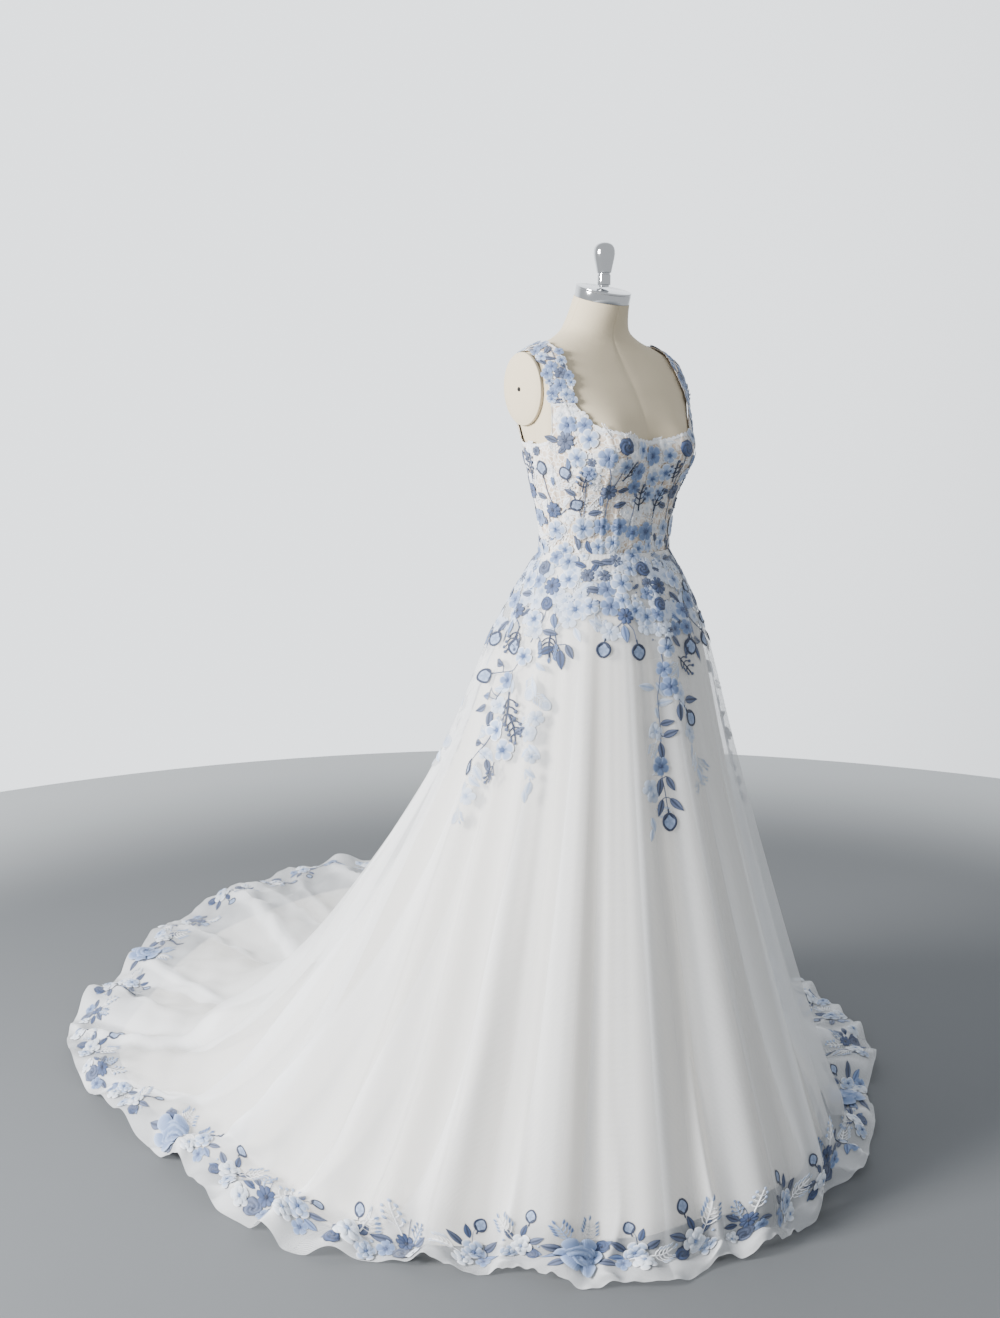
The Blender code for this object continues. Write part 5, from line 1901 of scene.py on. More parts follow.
@dataclass
class BodiceFlowers:
    """The embroidery on the bodice's lace: flowers, roses, buds, leaves and long stems."""

    shape: BodiceShape = BodiceShape()
    size_scale: float = 1.30
    scallop: float = 0.0075
    flowers: MotifTable = (
        # by kind: angle in degrees, height, size in millimetres, turn in degrees, threads if not usual
        (Kind.ROSE, ((-25, 1.276, 21, 10), (-118, 1.26, 20, 0), (-163, 1.135, 20, 0))),
        (Kind.DAISY, (
            (-60, 1.287, 24, 0), (-77, 1.174, 22, 10, Palette.DEEP), (-31, 1.206, 22, 10),
            (-105, 1.205, 22, 0, Palette.DEEP), (-146, 1.275, 23, 10),
        )),
        (Kind.FLOWER, (
            (-45, 1.288, 26, 20), (-37, 1.26, 26, 50, Palette.POWDER), (-56, 1.311, 24, 5, Palette.POWDER),
            (-54, 1.26, 27, 30), (-47, 1.237, 20, 0, Palette.POWDER), (1, 1.262, 26, 12, Palette.POWDER),
            (-11, 1.238, 25, 40, Palette.POWDER), (14, 1.236, 26, 25), (-50, 1.144, 30, 15),
            (-76, 1.14, 27, 50), (-20, 1.146, 24, 5, Palette.POWDER), (5, 1.136, 26, 33, Palette.POWDER),
            (-25, 1.119, 22, 60), (-99, 1.16, 25, 10, Palette.POWDER),
            (-132, 1.283, 26, 10, Palette.POWDER), (-136, 1.16, 26, 0), (-160, 1.2, 24, 0, Palette.POWDER),
        )),
        (Kind.BUD, (
            (-83, 1.228, 21, 0), (-61, 1.222, 20, -15), (-62, 1.176, 20, 60), (-124, 1.205, 20, 15),
        )),
        (Kind.LEAF, (
            (-66, 1.286, 20, -70), (-26, 1.18, 19, 75), (-46, 1.168, 19, 80), (-24, 1.206, 17, 78),
            (-55, 1.199, 17, -60), (-83, 1.193, 18, -65), (-87, 1.148, 17, -35), (-101, 1.255, 20, -20),
            (-112, 1.18, 19, 160), (-150, 1.215, 20, 30), (-171, 1.16, 18, 40),
        )),
        (Kind.CURVED_LEAF, (
            (-67, 1.267, 20, 40), (-62, 1.239, 18, 10, Palette.LEAF_PALE),
            (-84, 1.121, 19, 20, Palette.LEAF_PALE), (-54, 1.106, 21, -20),
            (-47, 1.124, 21, 155, Palette.DEEP),
        )),
        (Kind.BERRIES, (
            (-50, 1.205, 34, 5, Palette.LEAF_PALE), (-23, 1.225, 32, 20, Palette.MID), (-4, 1.172, 36, -5),
            (11, 1.17, 34, 12), (-97, 1.225, 34, -10), (-152, 1.14, 34, -10, Palette.LEAF_PALE),
        )),
    )
    stems: tuple[Rows, ...] = (
        # angle in degrees and height along each stem
        ((-51.5, 1.158), (-53, 1.178), (-57, 1.198), (-60, 1.212)),
        ((-49.5, 1.16), (-48, 1.188), (-48, 1.226)),
        ((-35, 1.122), (-32.5, 1.15), (-31, 1.18), (-29, 1.205), (-26, 1.232), (-25, 1.262)),
        ((-30, 1.21), (-33, 1.232), (-35.5, 1.246)), ((-83, 1.228), (-81, 1.205), (-77.5, 1.186)),
        ((-77, 1.168), (-71, 1.166), (-64, 1.176)), ((-12, 1.14), (-9, 1.168), (-8, 1.2), (-10, 1.226)),
        ((13, 1.128), (12, 1.152), (13.5, 1.19), (15, 1.222)), ((-105, 1.196), (-101, 1.215), (-99, 1.24)),
        ((-112, 1.165), (-116, 1.205), (-118, 1.25)), ((-151, 1.15), (-149, 1.2), (-146, 1.262)),
        ((-163, 1.146), (-161, 1.17), (-160, 1.19)), ((-90, 1.108), (-86, 1.128), (-84, 1.15), (-83, 1.19)),
    )

    @staticmethod
    def sides_of(angle: float) -> tuple[int, ...]:
        """The sides that a motif or stem at an angle is sewn on: both, or the one at the middle."""
        return (1, -1) if angle < -20 else (1,)

    def spots(self) -> list[Spot]:
        """The listed motifs, on both sides."""
        return [
            Spot(kind, math.radians(angle * side), height - 0.003 * (side < 0),
                 self.size_scale * size / 1000, math.radians(turn * side), palette, 0.0006)
            for kind, angle, height, size, turn, palette in rows_of(self.flowers)
            for side in self.sides_of(angle)
        ]

    def place(
        self, chance: random.Random, reach: float = 0.0, low: float = 0.006, high: float = 0.008
    ) -> tuple[float, float]:
        """A random angle and height.

        Args:
            chance: The random sequence.
            reach: How far the angles spread from the front, in degrees; none spreads them evenly.
            low: The distance kept from the waist.
            high: The distance kept from the top edge.

        Returns:
            The angle and the height.
        """
        around = math.radians(chance.gauss(0, reach)) if reach else chance.uniform(-math.pi, math.pi)
        edge = float(self.shape.top_edge(np.array(around)))
        return around, chance.uniform(self.shape.waist + low, edge - high)

    def by_waist(self, chance: random.Random) -> tuple[float, float]:
        """A random place just above the waist seam."""
        return chance.uniform(-math.pi, math.pi), self.shape.waist + chance.uniform(0.006, 0.017)

    def fill(self, taken: Sequence[Spot]) -> list[Spot]:
        """The smaller motifs between: pale flowers at the front and leaves and knots all round."""
        scatter = Scatter(self.shape, 21)
        scatter.claim(taken, 0.40)
        flowers = (
            (Kind.FLOWER, Palette.PALE, 29, 35), (Kind.FLOWER, Palette.PALE, 27, 33),
            (Kind.FLOWER, Palette.POWDER, 26, 31),
        )
        small = (
            (Kind.LEAF, Palette.LEAF, 16, 22), (Kind.KNOT, Palette.DARK, 3, 5),
            (Kind.DAISY, Palette.MID, 13, 17), (Kind.LEAF, Palette.LEAF_PALE, 16, 21),
        )
        found = scatter.fill(150, self.by_waist, flowers[:2], 0.36)
        found += scatter.fill(260, lambda chance: self.place(chance, 40), flowers, 0.37)
        return found + scatter.fill(130, self.place, small, 0.42)

    def lace(self) -> list[Spot]:
        """White corded lace under the colours, all round."""
        kinds = (
            (Kind.FERN, Palette.LACE, 26, 38), (Kind.FLOWER, Palette.LACE, 18, 26),
            (Kind.CURVED_LEAF, Palette.LACE, 18, 26), (Kind.BERRIES, Palette.LACE, 24, 34),
        )
        scatter = Scatter(self.shape, 8)
        return scatter.fill(1500, lambda chance: self.place(chance, 0, 0.004, 0.004), kinds, 0.28)

    def trim(self, sewing: Sewing) -> None:
        """The white scallops along the neckline, the armholes and the back edge."""
        count = round(FULL_TURN * 0.14 / self.scallop)
        angles = np.linspace(-math.pi, math.pi, count * 8 + 1)
        lift = 0.0022 * np.abs(np.sin(count * (angles + math.pi) / 2))
        edge = self.shape.top_edge(angles)
        rows = [
            self.shape.raised(angles, edge + up + lift * np.clip((up + 0.003) / 0.0038, 0, 1), out)
            for up, out in ((-0.0030, 0.0003), (-0.0016, 0.0012), (-0.0002, 0.0004), (0.0008, 0.0008))
        ]
        sewing.add_grid(np.stack(rows), (angles * 7.5, np.arange(4)[:, None]), Tone.WHITE)

    def build(self, finishes: Finishes, library: dict[Kind, Motif]) -> None:
        """Sews the lace and the colours on as two pieces."""
        lace = Sewing(self.shape, library, rise=0.0002, seed=2)
        lace.sew(self.lace())
        self.trim(lace)
        finished(lace.made("bodice_corded_lace"), finishes, "thread", "bodice_lace")
        colours = Sewing(self.shape, library, rise=0.0012)
        by_hand = self.spots()
        colours.sew(self.fill(by_hand))
        for stem in self.stems:
            for side in self.sides_of(stem[0][0]):
                path = [(math.radians(angle) * side, height) for angle, height in stem]
                colours.stem(path, 0.0018, Tone.MIST)
        colours.sew(by_hand)
        finished(colours.made("bodice_embroidery"), finishes, "thread", "bodice_lace")


@dataclass
class StrapFlowers:
    """Flowers and leaves along a strap, some past its edges, and its scalloped trims."""

    edge_motifs: int = 34
    scallops: int = 40
    motifs: MotifTable = (
        # by kind: share across, share along, size in millimetres, turn in degrees, threads if not usual
        (Kind.LEAF, (
            (0.95, 0.03, 24, 70), (0.2, 0.16, 20, -20, Palette.LEAF_PALE), (0.95, 0.24, 20, 35),
            (0.05, 0.31, 17, -45, Palette.LEAF_PALE), (0.15, 0.49, 24, -60), (0.8, 0.6, 20, 20),
            (0.1, 0.74, 20, -30), (0.95, 0.84, 20, 120), (0.15, 0.94, 20, 160, Palette.LEAF_PALE),
        )),
        (Kind.FERN, ((0.65, 0.06, 28, 10, Palette.LEAF_PALE),)), (Kind.BERRIES, ((0.9, 0.1, 28, 40),)),
        (Kind.FLOWER, (
            (0.3, 0.1, 22, 0), (0.55, 0.2, 24, 10, Palette.POWDER), (0.4, 0.29, 22, 30, Palette.MID),
            (0.7, 0.36, 22, 50, Palette.POWDER), (0.5, 0.53, 24, 0, Palette.POWDER), (0.3, 0.64, 22, 15),
            (0.4, 0.8, 24, 25, Palette.POWDER), (0.6, 0.91, 24, 5),
        )),
        (Kind.CURVED_LEAF, ((0.25, 0.4, 22, 10), (0.9, 0.46, 26, 40))), (Kind.ROSE, ((0.65, 0.71, 18, 0),)),
    )

    def trims(self, sewing: Sewing) -> None:
        """The scallops along both edges."""
        along = np.linspace(0.01, 0.99, self.scallops * 6 + 1)
        lift = np.abs(np.sin(self.scallops * math.pi * (along - 0.01) / 0.98))
        for edge, way in ((0.0, -1), (1.0, 1)):
            rows = [
                sewing.surface.raised(edge + way * (out + lift * (out + 0.035)), along, rise)
                for out, rise in ((-0.035, 0.0003), (0.0, 0.0010), (0.02, 0.0004))
            ]
            sewing.add_grid(np.stack(rows), (along * 18, np.arange(3)[:, None]), Tone.WHITE)

    def build(self, finishes: Finishes, library: dict[Kind, Motif], straps: dict[str, StrapShape]) -> None:
        """Sews the flowers on both straps."""
        fill = ((Kind.FLOWER, Palette.PALE), (Kind.LEAF, Palette.LEAF), (Kind.FLOWER, Palette.POWDER))
        for number, (side, shape) in enumerate(straps.items()):
            sewing = Sewing(shape, library, rise=0.0008, seed=30 + number)
            self.trims(sewing)
            path = [(0.5 + 0.25 * math.sin(9 * share), share) for share in np.linspace(0.02, 0.98, 14)]
            sewing.stem(path, 0.0012, Tone.BLUE)
            spots = [
                Spot(kind, across, share, size / 1000, math.radians(turn) * shape.outward, palette)
                for kind, across, share, size, turn, palette in rows_of(self.motifs)
            ]
            chance = random.Random(50 + number)
            for k in range(self.edge_motifs):
                kind, palette = fill[k % 3]
                across = (0.06, 0.94)[k % 2] + chance.uniform(-0.08, 0.08)
                share = (k + 0.5) / self.edge_motifs
                size, turn = chance.uniform(0.015, 0.021), chance.uniform(0, FULL_TURN)
                spots.insert(0, Spot(kind, across, share, size, turn, palette))
            sewing.sew(spots)
            finished(sewing.made(f"strap_embroidery_{side}"), finishes, "thread", "bodice_lace")


WAIST_BUNCHES = (
    # The bunch on the wearer's right, then the one at the centre front, by kind: angle from the
    # bunch's middle in degrees, height, size in millimetres, turn in degrees, threads if not usual.
    (
        (Kind.ROSE, ((-8, 1.075, 20, 0, Palette.MID), (3, 1.019, 19, 40))),
        (Kind.DAISY, ((4, 1.047, 25, 10, Palette.DEEP),)),
        (Kind.LEAF, (
            (-11, 1.032, 21, -95), (-8, 1.008, 18, -130), (9, 1.004, 20, 165, Palette.LEAF_PALE),
            (-19, 1.015, 20, -120), (-28, 0.982, 21, -150), (-22, 0.972, 22, -165), (5, 0.976, 21, 100),
            (4, 0.962, 20, 165), (13, 0.952, 23, -120, Palette.DEEP), (16, 0.948, 27, 170, Palette.DEEP),
            (19, 0.957, 22, 150), (-16, 0.912, 25, -80), (-21, 0.872, 19, -160),
            (-21, 0.858, 24, -100, Palette.LEAF_PALE), (-24, 0.84, 24, -120), (-17, 0.835, 22, 175),
            (-2, 0.806, 22, 60), (-17, 0.781, 23, -95), (-14, 0.757, 22, 155),
        )),
        (Kind.FLOWER, (
            (-22, 0.996, 24, 0), (-4, 0.932, 26, 0), (-12, 0.889, 23, 15, Palette.POWDER),
            (-12, 0.806, 30, 5), (-5, 0.778, 30, 30),
        )),
        (Kind.BERRIES, (
            (-13, 0.978, 40, -175), (-8, 0.872, 46, 165), (-5, 0.835, 40, 150, Palette.MID),
            (-8, 0.757, 36, -165),
        )),
        (Kind.FERN, ((10, 0.975, 36, 185, Palette.LEAF_PALE),)),
        (Kind.BUD, ((-26, 0.894, 26, -115), (-20, 0.752, 27, -150))),
    ),
    (
        (Kind.ROSE, ((-4, 1.074, 21, 0), (2, 1.018, 19, 40))),
        (Kind.DAISY, ((6, 1.046, 25, 10, Palette.DEEP),)),
        (Kind.LEAF, (
            (9, 1.002, 20, 130, Palette.LEAF_PALE), (1, 0.975, 22, 90), (0, 0.968, 22, 170),
            (5, 0.966, 22, 140), (18, 0.954, 22, -160), (24, 0.956, 24, 110),
            (23, 0.944, 26, 160, Palette.DEEP), (1, 0.858, 24, -175), (7, 0.86, 25, 95),
            (-10, 0.826, 20, 80), (-9, 0.806, 22, 70), (-11, 0.798, 24, 175), (-12.5, 0.741, 24, -165),
            (-9.5, 0.743, 22, 155), (-12.5, 0.708, 24, -155), (-9, 0.708, 23, 140),
        )),
        (Kind.FLOWER, (
            (21, 1.004, 23, 0, Palette.POWDER), (20, 0.976, 22, 30, Palette.POWDER),
            (-5, 0.914, 22, 0, Palette.POWDER), (-3, 0.886, 26, 20, Palette.POWDER),
            (-12, 0.76, 26, 10, Palette.POWDER),
        )),
        (Kind.BUD, ((34, 1.03, 24, 60), (48, 0.99, 24, 120), (6, 0.845, 27, 145), (-10.5, 0.69, 27, 180))),
        (Kind.BERRIES, ((7, 0.932, 36, 130),)),
    ),
)
BUNCH_STEMS = (
    (
        ((4, 1.036), (3.5, 1.004), (1, 0.98), (-2, 0.955)), ((-6, 1.006), (-14, 1.0), (-24, 0.985)),
        ((10, 1.02), (11, 0.985), (14, 0.955)), ((-4, 0.932), (-9, 0.908), (-17, 0.9), (-25, 0.894)),
        ((-10, 0.905), (-13, 0.88), (-16, 0.85), (-15, 0.815)), ((-14, 0.8), (-16, 0.778), (-19, 0.758)),
        ((-8, 0.872), (-7, 0.845), (-4, 0.825)), ((-3, 0.8), (-2, 0.79), (-2, 0.772)),
    ),
    (
        ((5, 1.036), (2, 1.004), (0, 0.985), (1, 0.96)), ((17, 1.03), (21, 0.99), (22, 0.95)),
        ((-5, 0.94), (-4, 0.905), (0, 0.87), (6, 0.846)),
        ((-7, 0.905), (-10, 0.86), (-10, 0.815), (-12, 0.775)), ((-12, 0.75), (-11, 0.72), (-10.5, 0.69)),
    ),
)
BETWEEN_BUNCHES = (
    (Kind.LEAF, (
        (-14, 1.079, 22, -70, Palette.DEEP), (-9, 1.07, 20, 30, Palette.DEEP), (-11, 1.088, 20, 105),
        (-3, 1.088, 22, 95), (12, 0.988, 24, 175, Palette.LEAF_PALE), (-2, 1.025, 19, -100, Palette.DEEP),
        (-12, 1.046, 22, 100),
    )),
    (Kind.DAISY, ((-12, 1.066, 19, 0), (13.5, 1.002, 22, 0, Palette.DEEP))),
    (Kind.FLOWER, ((13, 1.053, 30, 10), (4, 1.017, 27, 40, Palette.POWDER))),
    (Kind.BUD, ((1, 0.966, 24, -170), (19, 0.962, 25, 175))),
)
BETWEEN_STEMS = (((11, 0.992), (6, 0.98), (1, 0.966)), ((14, 0.992), (18, 0.978), (19, 0.962)))
HEM_CLUSTERS = (
    Cluster(
        (
            (Kind.FERN, ((18, 10, 52, 30),)),
            (Kind.LEAF, (
                (-14, 4, 34, -70), (-12, -8, 32, -115, Palette.LEAF_PALE), (14, 6, 30, 40),
                (2, 16, 28, -25, Palette.DEEP),
            )),
            (Kind.ROSE, ((-22, -20, 28, 0),)), (Kind.BUD, ((-14, 40, 30, -12),)),
            (Kind.RAISED, ((0, 0, 46, 0), (24, -20, 36, 30, Palette.PALE))),
            (Kind.KNOT, ((34, 6, 5, 0), (-34, -2, 5, 0))),
        ),
        (((-2, 14), (-8, 28), (-14, 42)),),
    ),
    Cluster(
        (
            (Kind.BERRIES, ((-8, 18, 52, -20, Palette.PALE), (10, 16, 40, 25, Palette.POWDER))),
            (Kind.LEAF, ((14, 12, 32, 60), (18, 4, 30, 95, Palette.DEEP), (-16, -4, 32, -85))),
            (Kind.DAISY, ((0, 8, 32, 0, Palette.DEEP),)), (Kind.ROSE, ((6, -20, 34, 0, Palette.MID),)),
            (Kind.RAISED, ((32, -22, 32, 10),)), (Kind.FLOWER, ((-22, -18, 30, 20, Palette.POWDER),)),
        ),
        (((0, 12), (4, 30), (12, 48)),),
    ),
    Cluster(
        (
            (Kind.LEAF, (
                (-16, 8, 34, -60), (-18, -4, 32, -100, Palette.LEAF_PALE), (16, 8, 32, 50),
                (6, 24, 26, 15, Palette.DEEP),
            )),
            (Kind.BUD, ((-6, 36, 28, -20),)), (Kind.FERN, ((22, -6, 46, 75, Palette.FROST),)),
            (Kind.FLOWER, ((-22, -22, 30, 0, Palette.POWDER),)),
            (Kind.RAISED, ((0, 4, 44, 12, Palette.PALE), (12, -26, 40, 0))),
        ),
        (((2, 20), (0, 34), (-5, 44)),),
    ),
    Cluster(
        (
            (Kind.LEAF, (
                (-26, 8, 40, -70), (-26, -6, 40, -95, Palette.LEAF_PALE), (-20, -24, 36, -120),
                (26, 14, 36, 60, Palette.LEAF_PALE), (30, -10, 36, 105),
            )),
            (Kind.FERN, ((-14, 26, 46, -25, Palette.POWDER), (12, 28, 46, 15))),
            (Kind.FULL_ROSE, ((0, 0, 84, 0),)), (Kind.ROSE, ((40, 22, 26, 0, Palette.DEEP),)),
        ),
    ),
)


@dataclass
class SkirtFlowers:
    """The waist bunches, the long sprays and the hem clusters."""

    tulle: TulleShape = TulleShape()
    size_scale: float = 1.28
    bunch_angles: tuple[float, ...] = (-78, 0, 78, 141, -141)
    between_angles: tuple[float, ...] = (-39, 39, 110, 180, -110)
    hem_step: float = 0.098
    front_distance: float = 0.052
    train_distance: float = 0.058

    def by_hand(self) -> tuple[list[Spot], list[list[tuple[float, float]]]]:
        """The motifs and stems of every bunch, by angle and place."""
        spots, stems = [], []
        tables = [
            (angle, WAIST_BUNCHES[k % 2], BUNCH_STEMS[k % 2]) for k, angle in enumerate(self.bunch_angles)
        ]
        tables += [(angle, BETWEEN_BUNCHES, BETWEEN_STEMS) for angle in self.between_angles]
        for middle, motifs, lines in tables:
            side = 1 if middle <= 0 or middle == 180 else -1

            def place(angle: float, height: float) -> tuple[float, float]:
                return math.radians(middle + angle * side), self.tulle.base.place_at_height(height)

            for kind, angle, height, size, turn, palette in rows_of(motifs):
                length, turned = self.size_scale * size / 1000, math.radians(turn * side)
                spots.append(Spot(kind, *place(angle, height), length, turned, palette, 0.0005))
            stems += [[place(*point) for point in line] for line in lines]
        return spots, stems

    def waist_fill(self, taken: Sequence[Spot]) -> list[Spot]:
        """Pale motifs that cover the net from the waist to the hips, fewer further down."""
        scatter = Scatter(self.tulle, 5)
        scatter.claim(taken, 0.34)
        middles = np.radians(self.bunch_angles)

        def place(chance: random.Random) -> tuple[float, float]:
            around = chance.uniform(-math.pi, math.pi)
            nearest = np.abs(centred(around - middles)).min()
            reach = 0.070 + 0.085 * math.exp(-((nearest / 0.36) ** 2))
            height = 1.097 - reach * chance.random() ** 1.15
            return around, self.tulle.base.place_at_height(height)

        large = (
            (Kind.FLOWER, Palette.PALE, 32, 40), (Kind.FLOWER, Palette.PALE, 30, 37),
            (Kind.FLOWER, Palette.POWDER, 26, 32), (Kind.FERN, Palette.PALE, 34, 44),
        )
        leaves = (
            (Kind.LEAF, Palette.LEAF, 24, 30), (Kind.CURVED_LEAF, Palette.LEAF, 24, 30),
            (Kind.DAISY, Palette.MID, 20, 25),
        )
        small = (
            (Kind.FERN, Palette.POWDER, 24, 32), (Kind.LEAF, Palette.LEAF, 13, 18),
            (Kind.BERRIES, Palette.POWDER, 22, 30), (Kind.LEAF, Palette.LEAF_PALE, 14, 19),
            (Kind.FLOWER, Palette.FROST, 13, 18),
        )
        knots = ((Kind.KNOT, Palette.MID, 2.5, 4), (Kind.KNOT, Palette.PALE, 2.5, 4))
        found = []
        rounds = ((100, leaves, 0.40), (380, large, 0.33), (700, small, 0.30), (500, knots, 0.8))
        for count, kinds, share in rounds:
            found += scatter.fill(count, place, kinds, share)
        return found

    def ghosts(self) -> list[Spot]:
        """The faint sprays beside the strong ones, and the haze round the waist."""
        chance = random.Random(12)
        place_at = self.tulle.base.place_at_height
        spots = []
        sprays = ((9, 0.93, 0.72), (-17, 0.90, 0.66))
        for middle, (drift, top, low) in itertools.product(self.bunch_angles, sprays):
            for step in range(17):
                share = (step + chance.random()) / 17
                angle = middle + drift * (0.6 + 0.5 * share) + chance.gauss(0, 2.2 - 1.2 * share)
                kind = chance.choice((Kind.FLOWER, Kind.LEAF, Kind.LEAF, Kind.FERN, Kind.BUD))
                size = chance.uniform(0.020, 0.032)
                turn = math.radians(180 + chance.gauss(0, 50))
                along = place_at(top + (low - top) * share)
                spots.append(Spot(kind, math.radians(angle), along, size, turn, Palette.GHOST))
        for _ in range(260):
            along = place_at(1.093 - 0.125 * chance.random())
            kind = chance.choice((Kind.FLOWER, Kind.FLOWER, Kind.LEAF, Kind.FERN))
            around, turn = chance.uniform(-math.pi, math.pi), chance.uniform(0, FULL_TURN)
            spots.append(Spot(kind, around, along, chance.uniform(0.022, 0.034), turn, Palette.GHOST))
        return spots

    def hem_places(self) -> list[tuple[float, float]]:
        """The middles of the hem clusters, an even step apart along the hem."""
        angles = np.linspace(-math.pi, math.pi, 1441)
        run = run_along(self.tulle.base.at(angles, np.full(angles.shape, 8.0)))
        count = round(run[-1] / self.hem_step)
        chance = random.Random(3)
        places = []
        for k in range(count):
            distance = (k + 0.5 + chance.uniform(-0.16, 0.16)) / count * run[-1]
            around = float(np.interp(distance, run, angles))
            up = self.front_distance + (self.train_distance - self.front_distance) * rearward(around)
            places.append((around, self.tulle.base.place_from_hem(around, up * chance.uniform(0.85, 1.2))))
        return places

    def hem(self, sewing: dict[str, Sewing]) -> None:
        """Sews the hem clusters, each in turn, with the great rose in every ninth place."""
        chance = random.Random(11)
        for number, (around, along) in enumerate(self.hem_places()):
            cluster = HEM_CLUSTERS[3 if number % 9 == 4 else number % 3]
            mirror, size = chance.random() < 0.5, chance.uniform(0.82, 1.02)
            cluster.sew(sewing[self.side_of(around)], around, along, mirror, size)

    @staticmethod
    def side_of(around: float) -> str:
        """The skirt piece at an angle."""
        turned_to = centred(around)
        if abs(turned_to) <= QUARTER:
            return "front"
        return "back_left" if turned_to > 0 else "back_right"

    def build(self, finishes: Finishes, library: dict[Kind, Motif]) -> None:
        """Sews all of it, one strong and one faint piece for each piece of the skirt."""
        spots, stems = self.by_hand()
        filled, faint = self.waist_fill(spots), self.ghosts()
        strong, under = {}, {}

        def on(side: str, motifs: Sequence[Spot]) -> list[Spot]:
            return [spot for spot in motifs if self.side_of(spot.around) == side]

        for number, side in enumerate(("front", "back_left", "back_right")):
            sewing = strong[side] = Sewing(self.tulle, library, rise=0.0008, seed=number)
            sewing.sew(on(side, filled))
            for stem in stems:
                if self.side_of(stem[0][0]) == side:
                    sewing.stem(stem, 0.0019, Tone.MIST)
            sewing.footstalks(on(side, spots), stems, 0.030)
            sewing.sew(on(side, spots))
            under[side] = Sewing(self.tulle, library, rise=0.0003, seed=9 + number)
            under[side].sew(on(side, faint))
        self.hem(strong)
        for side in strong:
            finished(strong[side].made(f"skirt_embroidery_{side}"), finishes, "thread", "tulle")
            finished(under[side].made(f"pale_embroidery_{side}"), finishes, "thread", "tulle")


# Stage

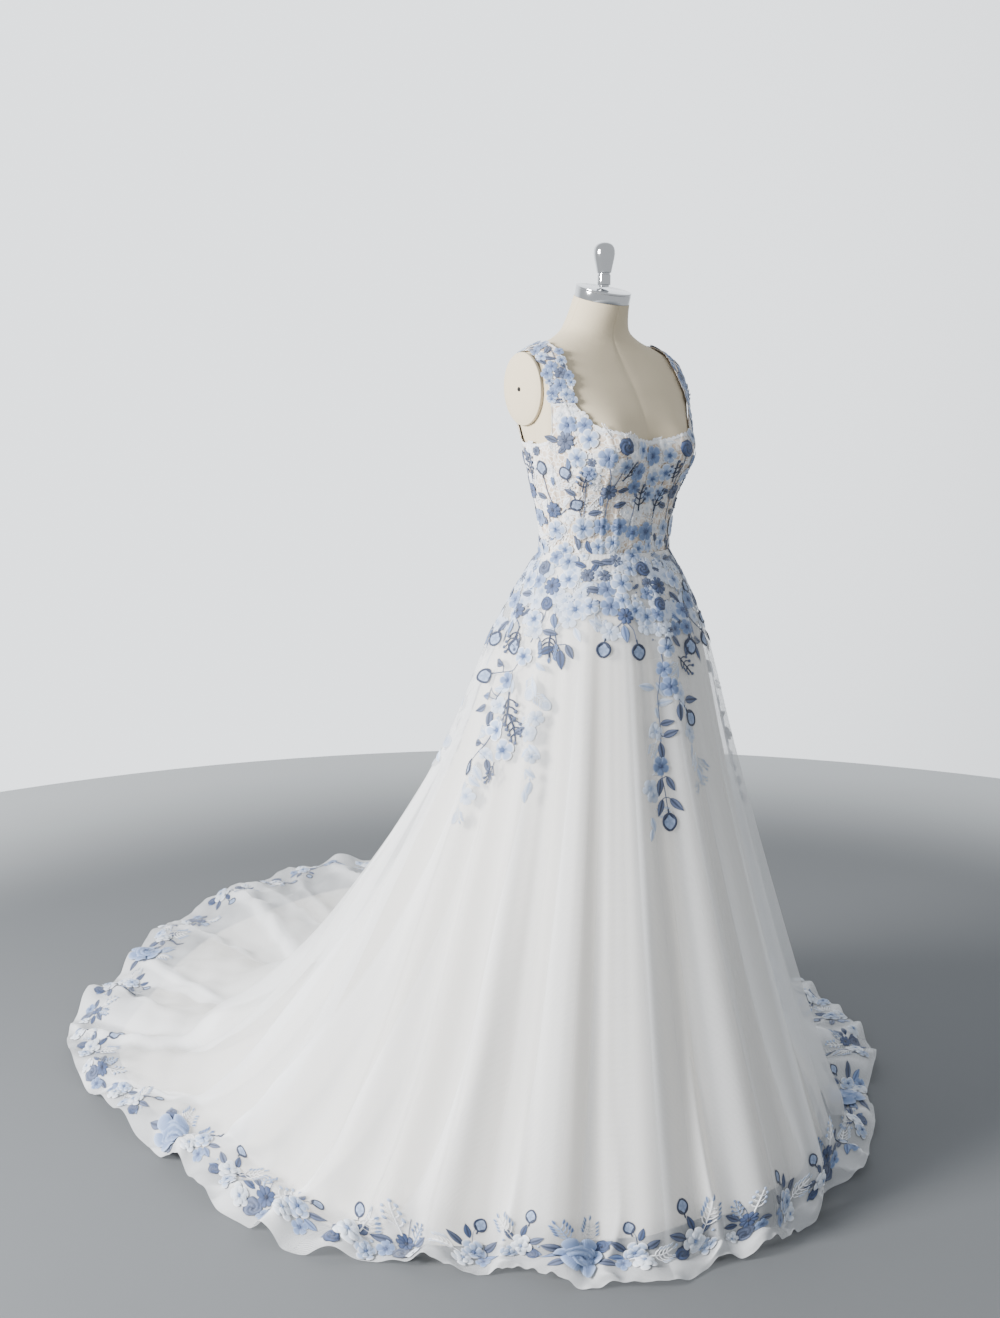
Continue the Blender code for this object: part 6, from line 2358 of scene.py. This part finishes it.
@dataclass
class Studio:
    """The pale floor, the soft lights, the world and the camera."""

    floor_radius: float = 3.25
    floor_near: Colour = (0.125, 0.133, 0.142)
    floor_far: Colour = (0.50, 0.52, 0.535)
    world_bright: Colour = (2.15, 2.25, 2.35)
    world_dim: Colour = (0.72, 0.745, 0.765)
    world_heading: Point = (0.33, 0.93, 0.14)
    camera_place: Point = (-1.54144, -1.88716, 1.30)
    camera_pitch: float = 80.8
    camera_heading: float = -35.0
    focal_share: float = 1400 / 1318
    sensor: float = 36.0
    key_place: Point = (-3.6, 0.45, 2.2)
    key_aim: Point = (0, 0, 0.9)
    key_size: float = 1.3
    key_power: float = 500
    key_colour: Colour = (1.0, 0.99, 0.97)

    def set_floor(self) -> None:
        """Lays the floor disc."""
        bpy.ops.object.select_all(action="DESELECT")
        bpy.ops.mesh.primitive_circle_add(vertices=128, radius=self.floor_radius, fill_type="NGON")
        made = bpy.context.object
        made.name = "studio_floor"
        made.data.materials.append(self.floor_paint())

    @staticmethod
    def eased(tree: Tree, value: Socket, low: float, high: float) -> Socket:
        """A soft step in a material, from 0 at low to 1 at high."""
        span = {"From Min": low, "From Max": high, "Value": value}
        return add_node(tree, "MapRange", span, interpolation_type="SMOOTHSTEP").outputs["Result"]

    def floor_paint(self) -> Material:
        """Matt floor paint that pales towards its far edge, with soft scuffs."""
        made, tree, shader = new_material("floor paint", {"Roughness": 0.72, "Specular IOR Level": 0.25})
        place = coordinates(tree, "Object")
        away = add_node(tree, "VectorMath", {0: place}, operation="LENGTH").outputs["Value"]
        share = self.eased(tree, away, 1.9, self.floor_radius)
        paint = mixed_colour(tree, share, self.floor_near, self.floor_far)
        cloud = add_node(tree, "TexNoise", {"Vector": place, "Scale": 3.5, "Detail": 6.0})
        worn_share = math_node(tree, "MULTIPLY_ADD", cloud.outputs["Fac"], 0.05, 0.975)
        feed(tree, shader, {"Base Color": scaled(tree, paint, worn_share)})
        return made

    def set_light(self) -> None:
        """Puts up the soft light at the left."""
        lamp = bpy.data.lights.new("key", "AREA")
        lamp.shape, lamp.size = "DISK", self.key_size
        lamp.energy, lamp.color = self.key_power, self.key_colour
        holder = new_object("key", lamp)
        holder.location = self.key_place
        way = Vector(self.key_aim) - Vector(self.key_place)
        holder.rotation_euler = way.to_track_quat("-Z", "Y").to_euler()

    def set_world(self) -> None:
        """Makes the pale world, brightest behind the dress."""
        world = bpy.context.scene.world or bpy.data.worlds.new("studio")
        bpy.context.scene.world = world
        world.use_nodes = True
        tree = world.node_tree
        heading = {0: coordinates(tree, "Object"), 1: Vector(self.world_heading).normalized()}
        facing = add_node(tree, "VectorMath", heading, operation="DOT_PRODUCT").outputs["Value"]
        share = self.eased(tree, facing, 0.50, 0.95)
        tone = mixed_colour(tree, share, self.world_dim, self.world_bright)
        feed(tree, tree.nodes["Background"], {"Color": tone})

    def set_camera(self) -> None:
        """Places the camera where the photo was taken from."""
        lens = bpy.data.cameras.new("photo camera")
        lens.sensor_width = self.sensor
        lens.lens = self.focal_share * self.sensor
        holder = new_object("photo camera", lens)
        holder.location = self.camera_place
        holder.rotation_euler = (math.radians(self.camera_pitch), 0, math.radians(self.camera_heading))
        bpy.context.scene.camera = holder

    def build(self) -> None:
        """Sets up the stage."""
        self.set_floor()
        self.set_light()
        self.set_world()
        self.set_camera()


def main() -> None:
    """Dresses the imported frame."""
    logging.basicConfig(level=logging.INFO, format="%(name)s: %(message)s")
    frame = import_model()
    finishes = Finishes()
    bodice = Bodice()
    straps = bodice.strap_shapes(frame["nodes"]["form_torso"])
    form = DressForm()
    form.build(finishes)
    Stand().build(finishes, form.shape.bottom)
    bodice.build(finishes, straps)
    Skirt().build(finishes)
    library = motif_library()
    BodiceFlowers().build(finishes, library)
    StrapFlowers().build(finishes, library, straps)
    SkirtFlowers().build(finishes, library)
    Studio().build()


if __name__ == "__main__":
    main()
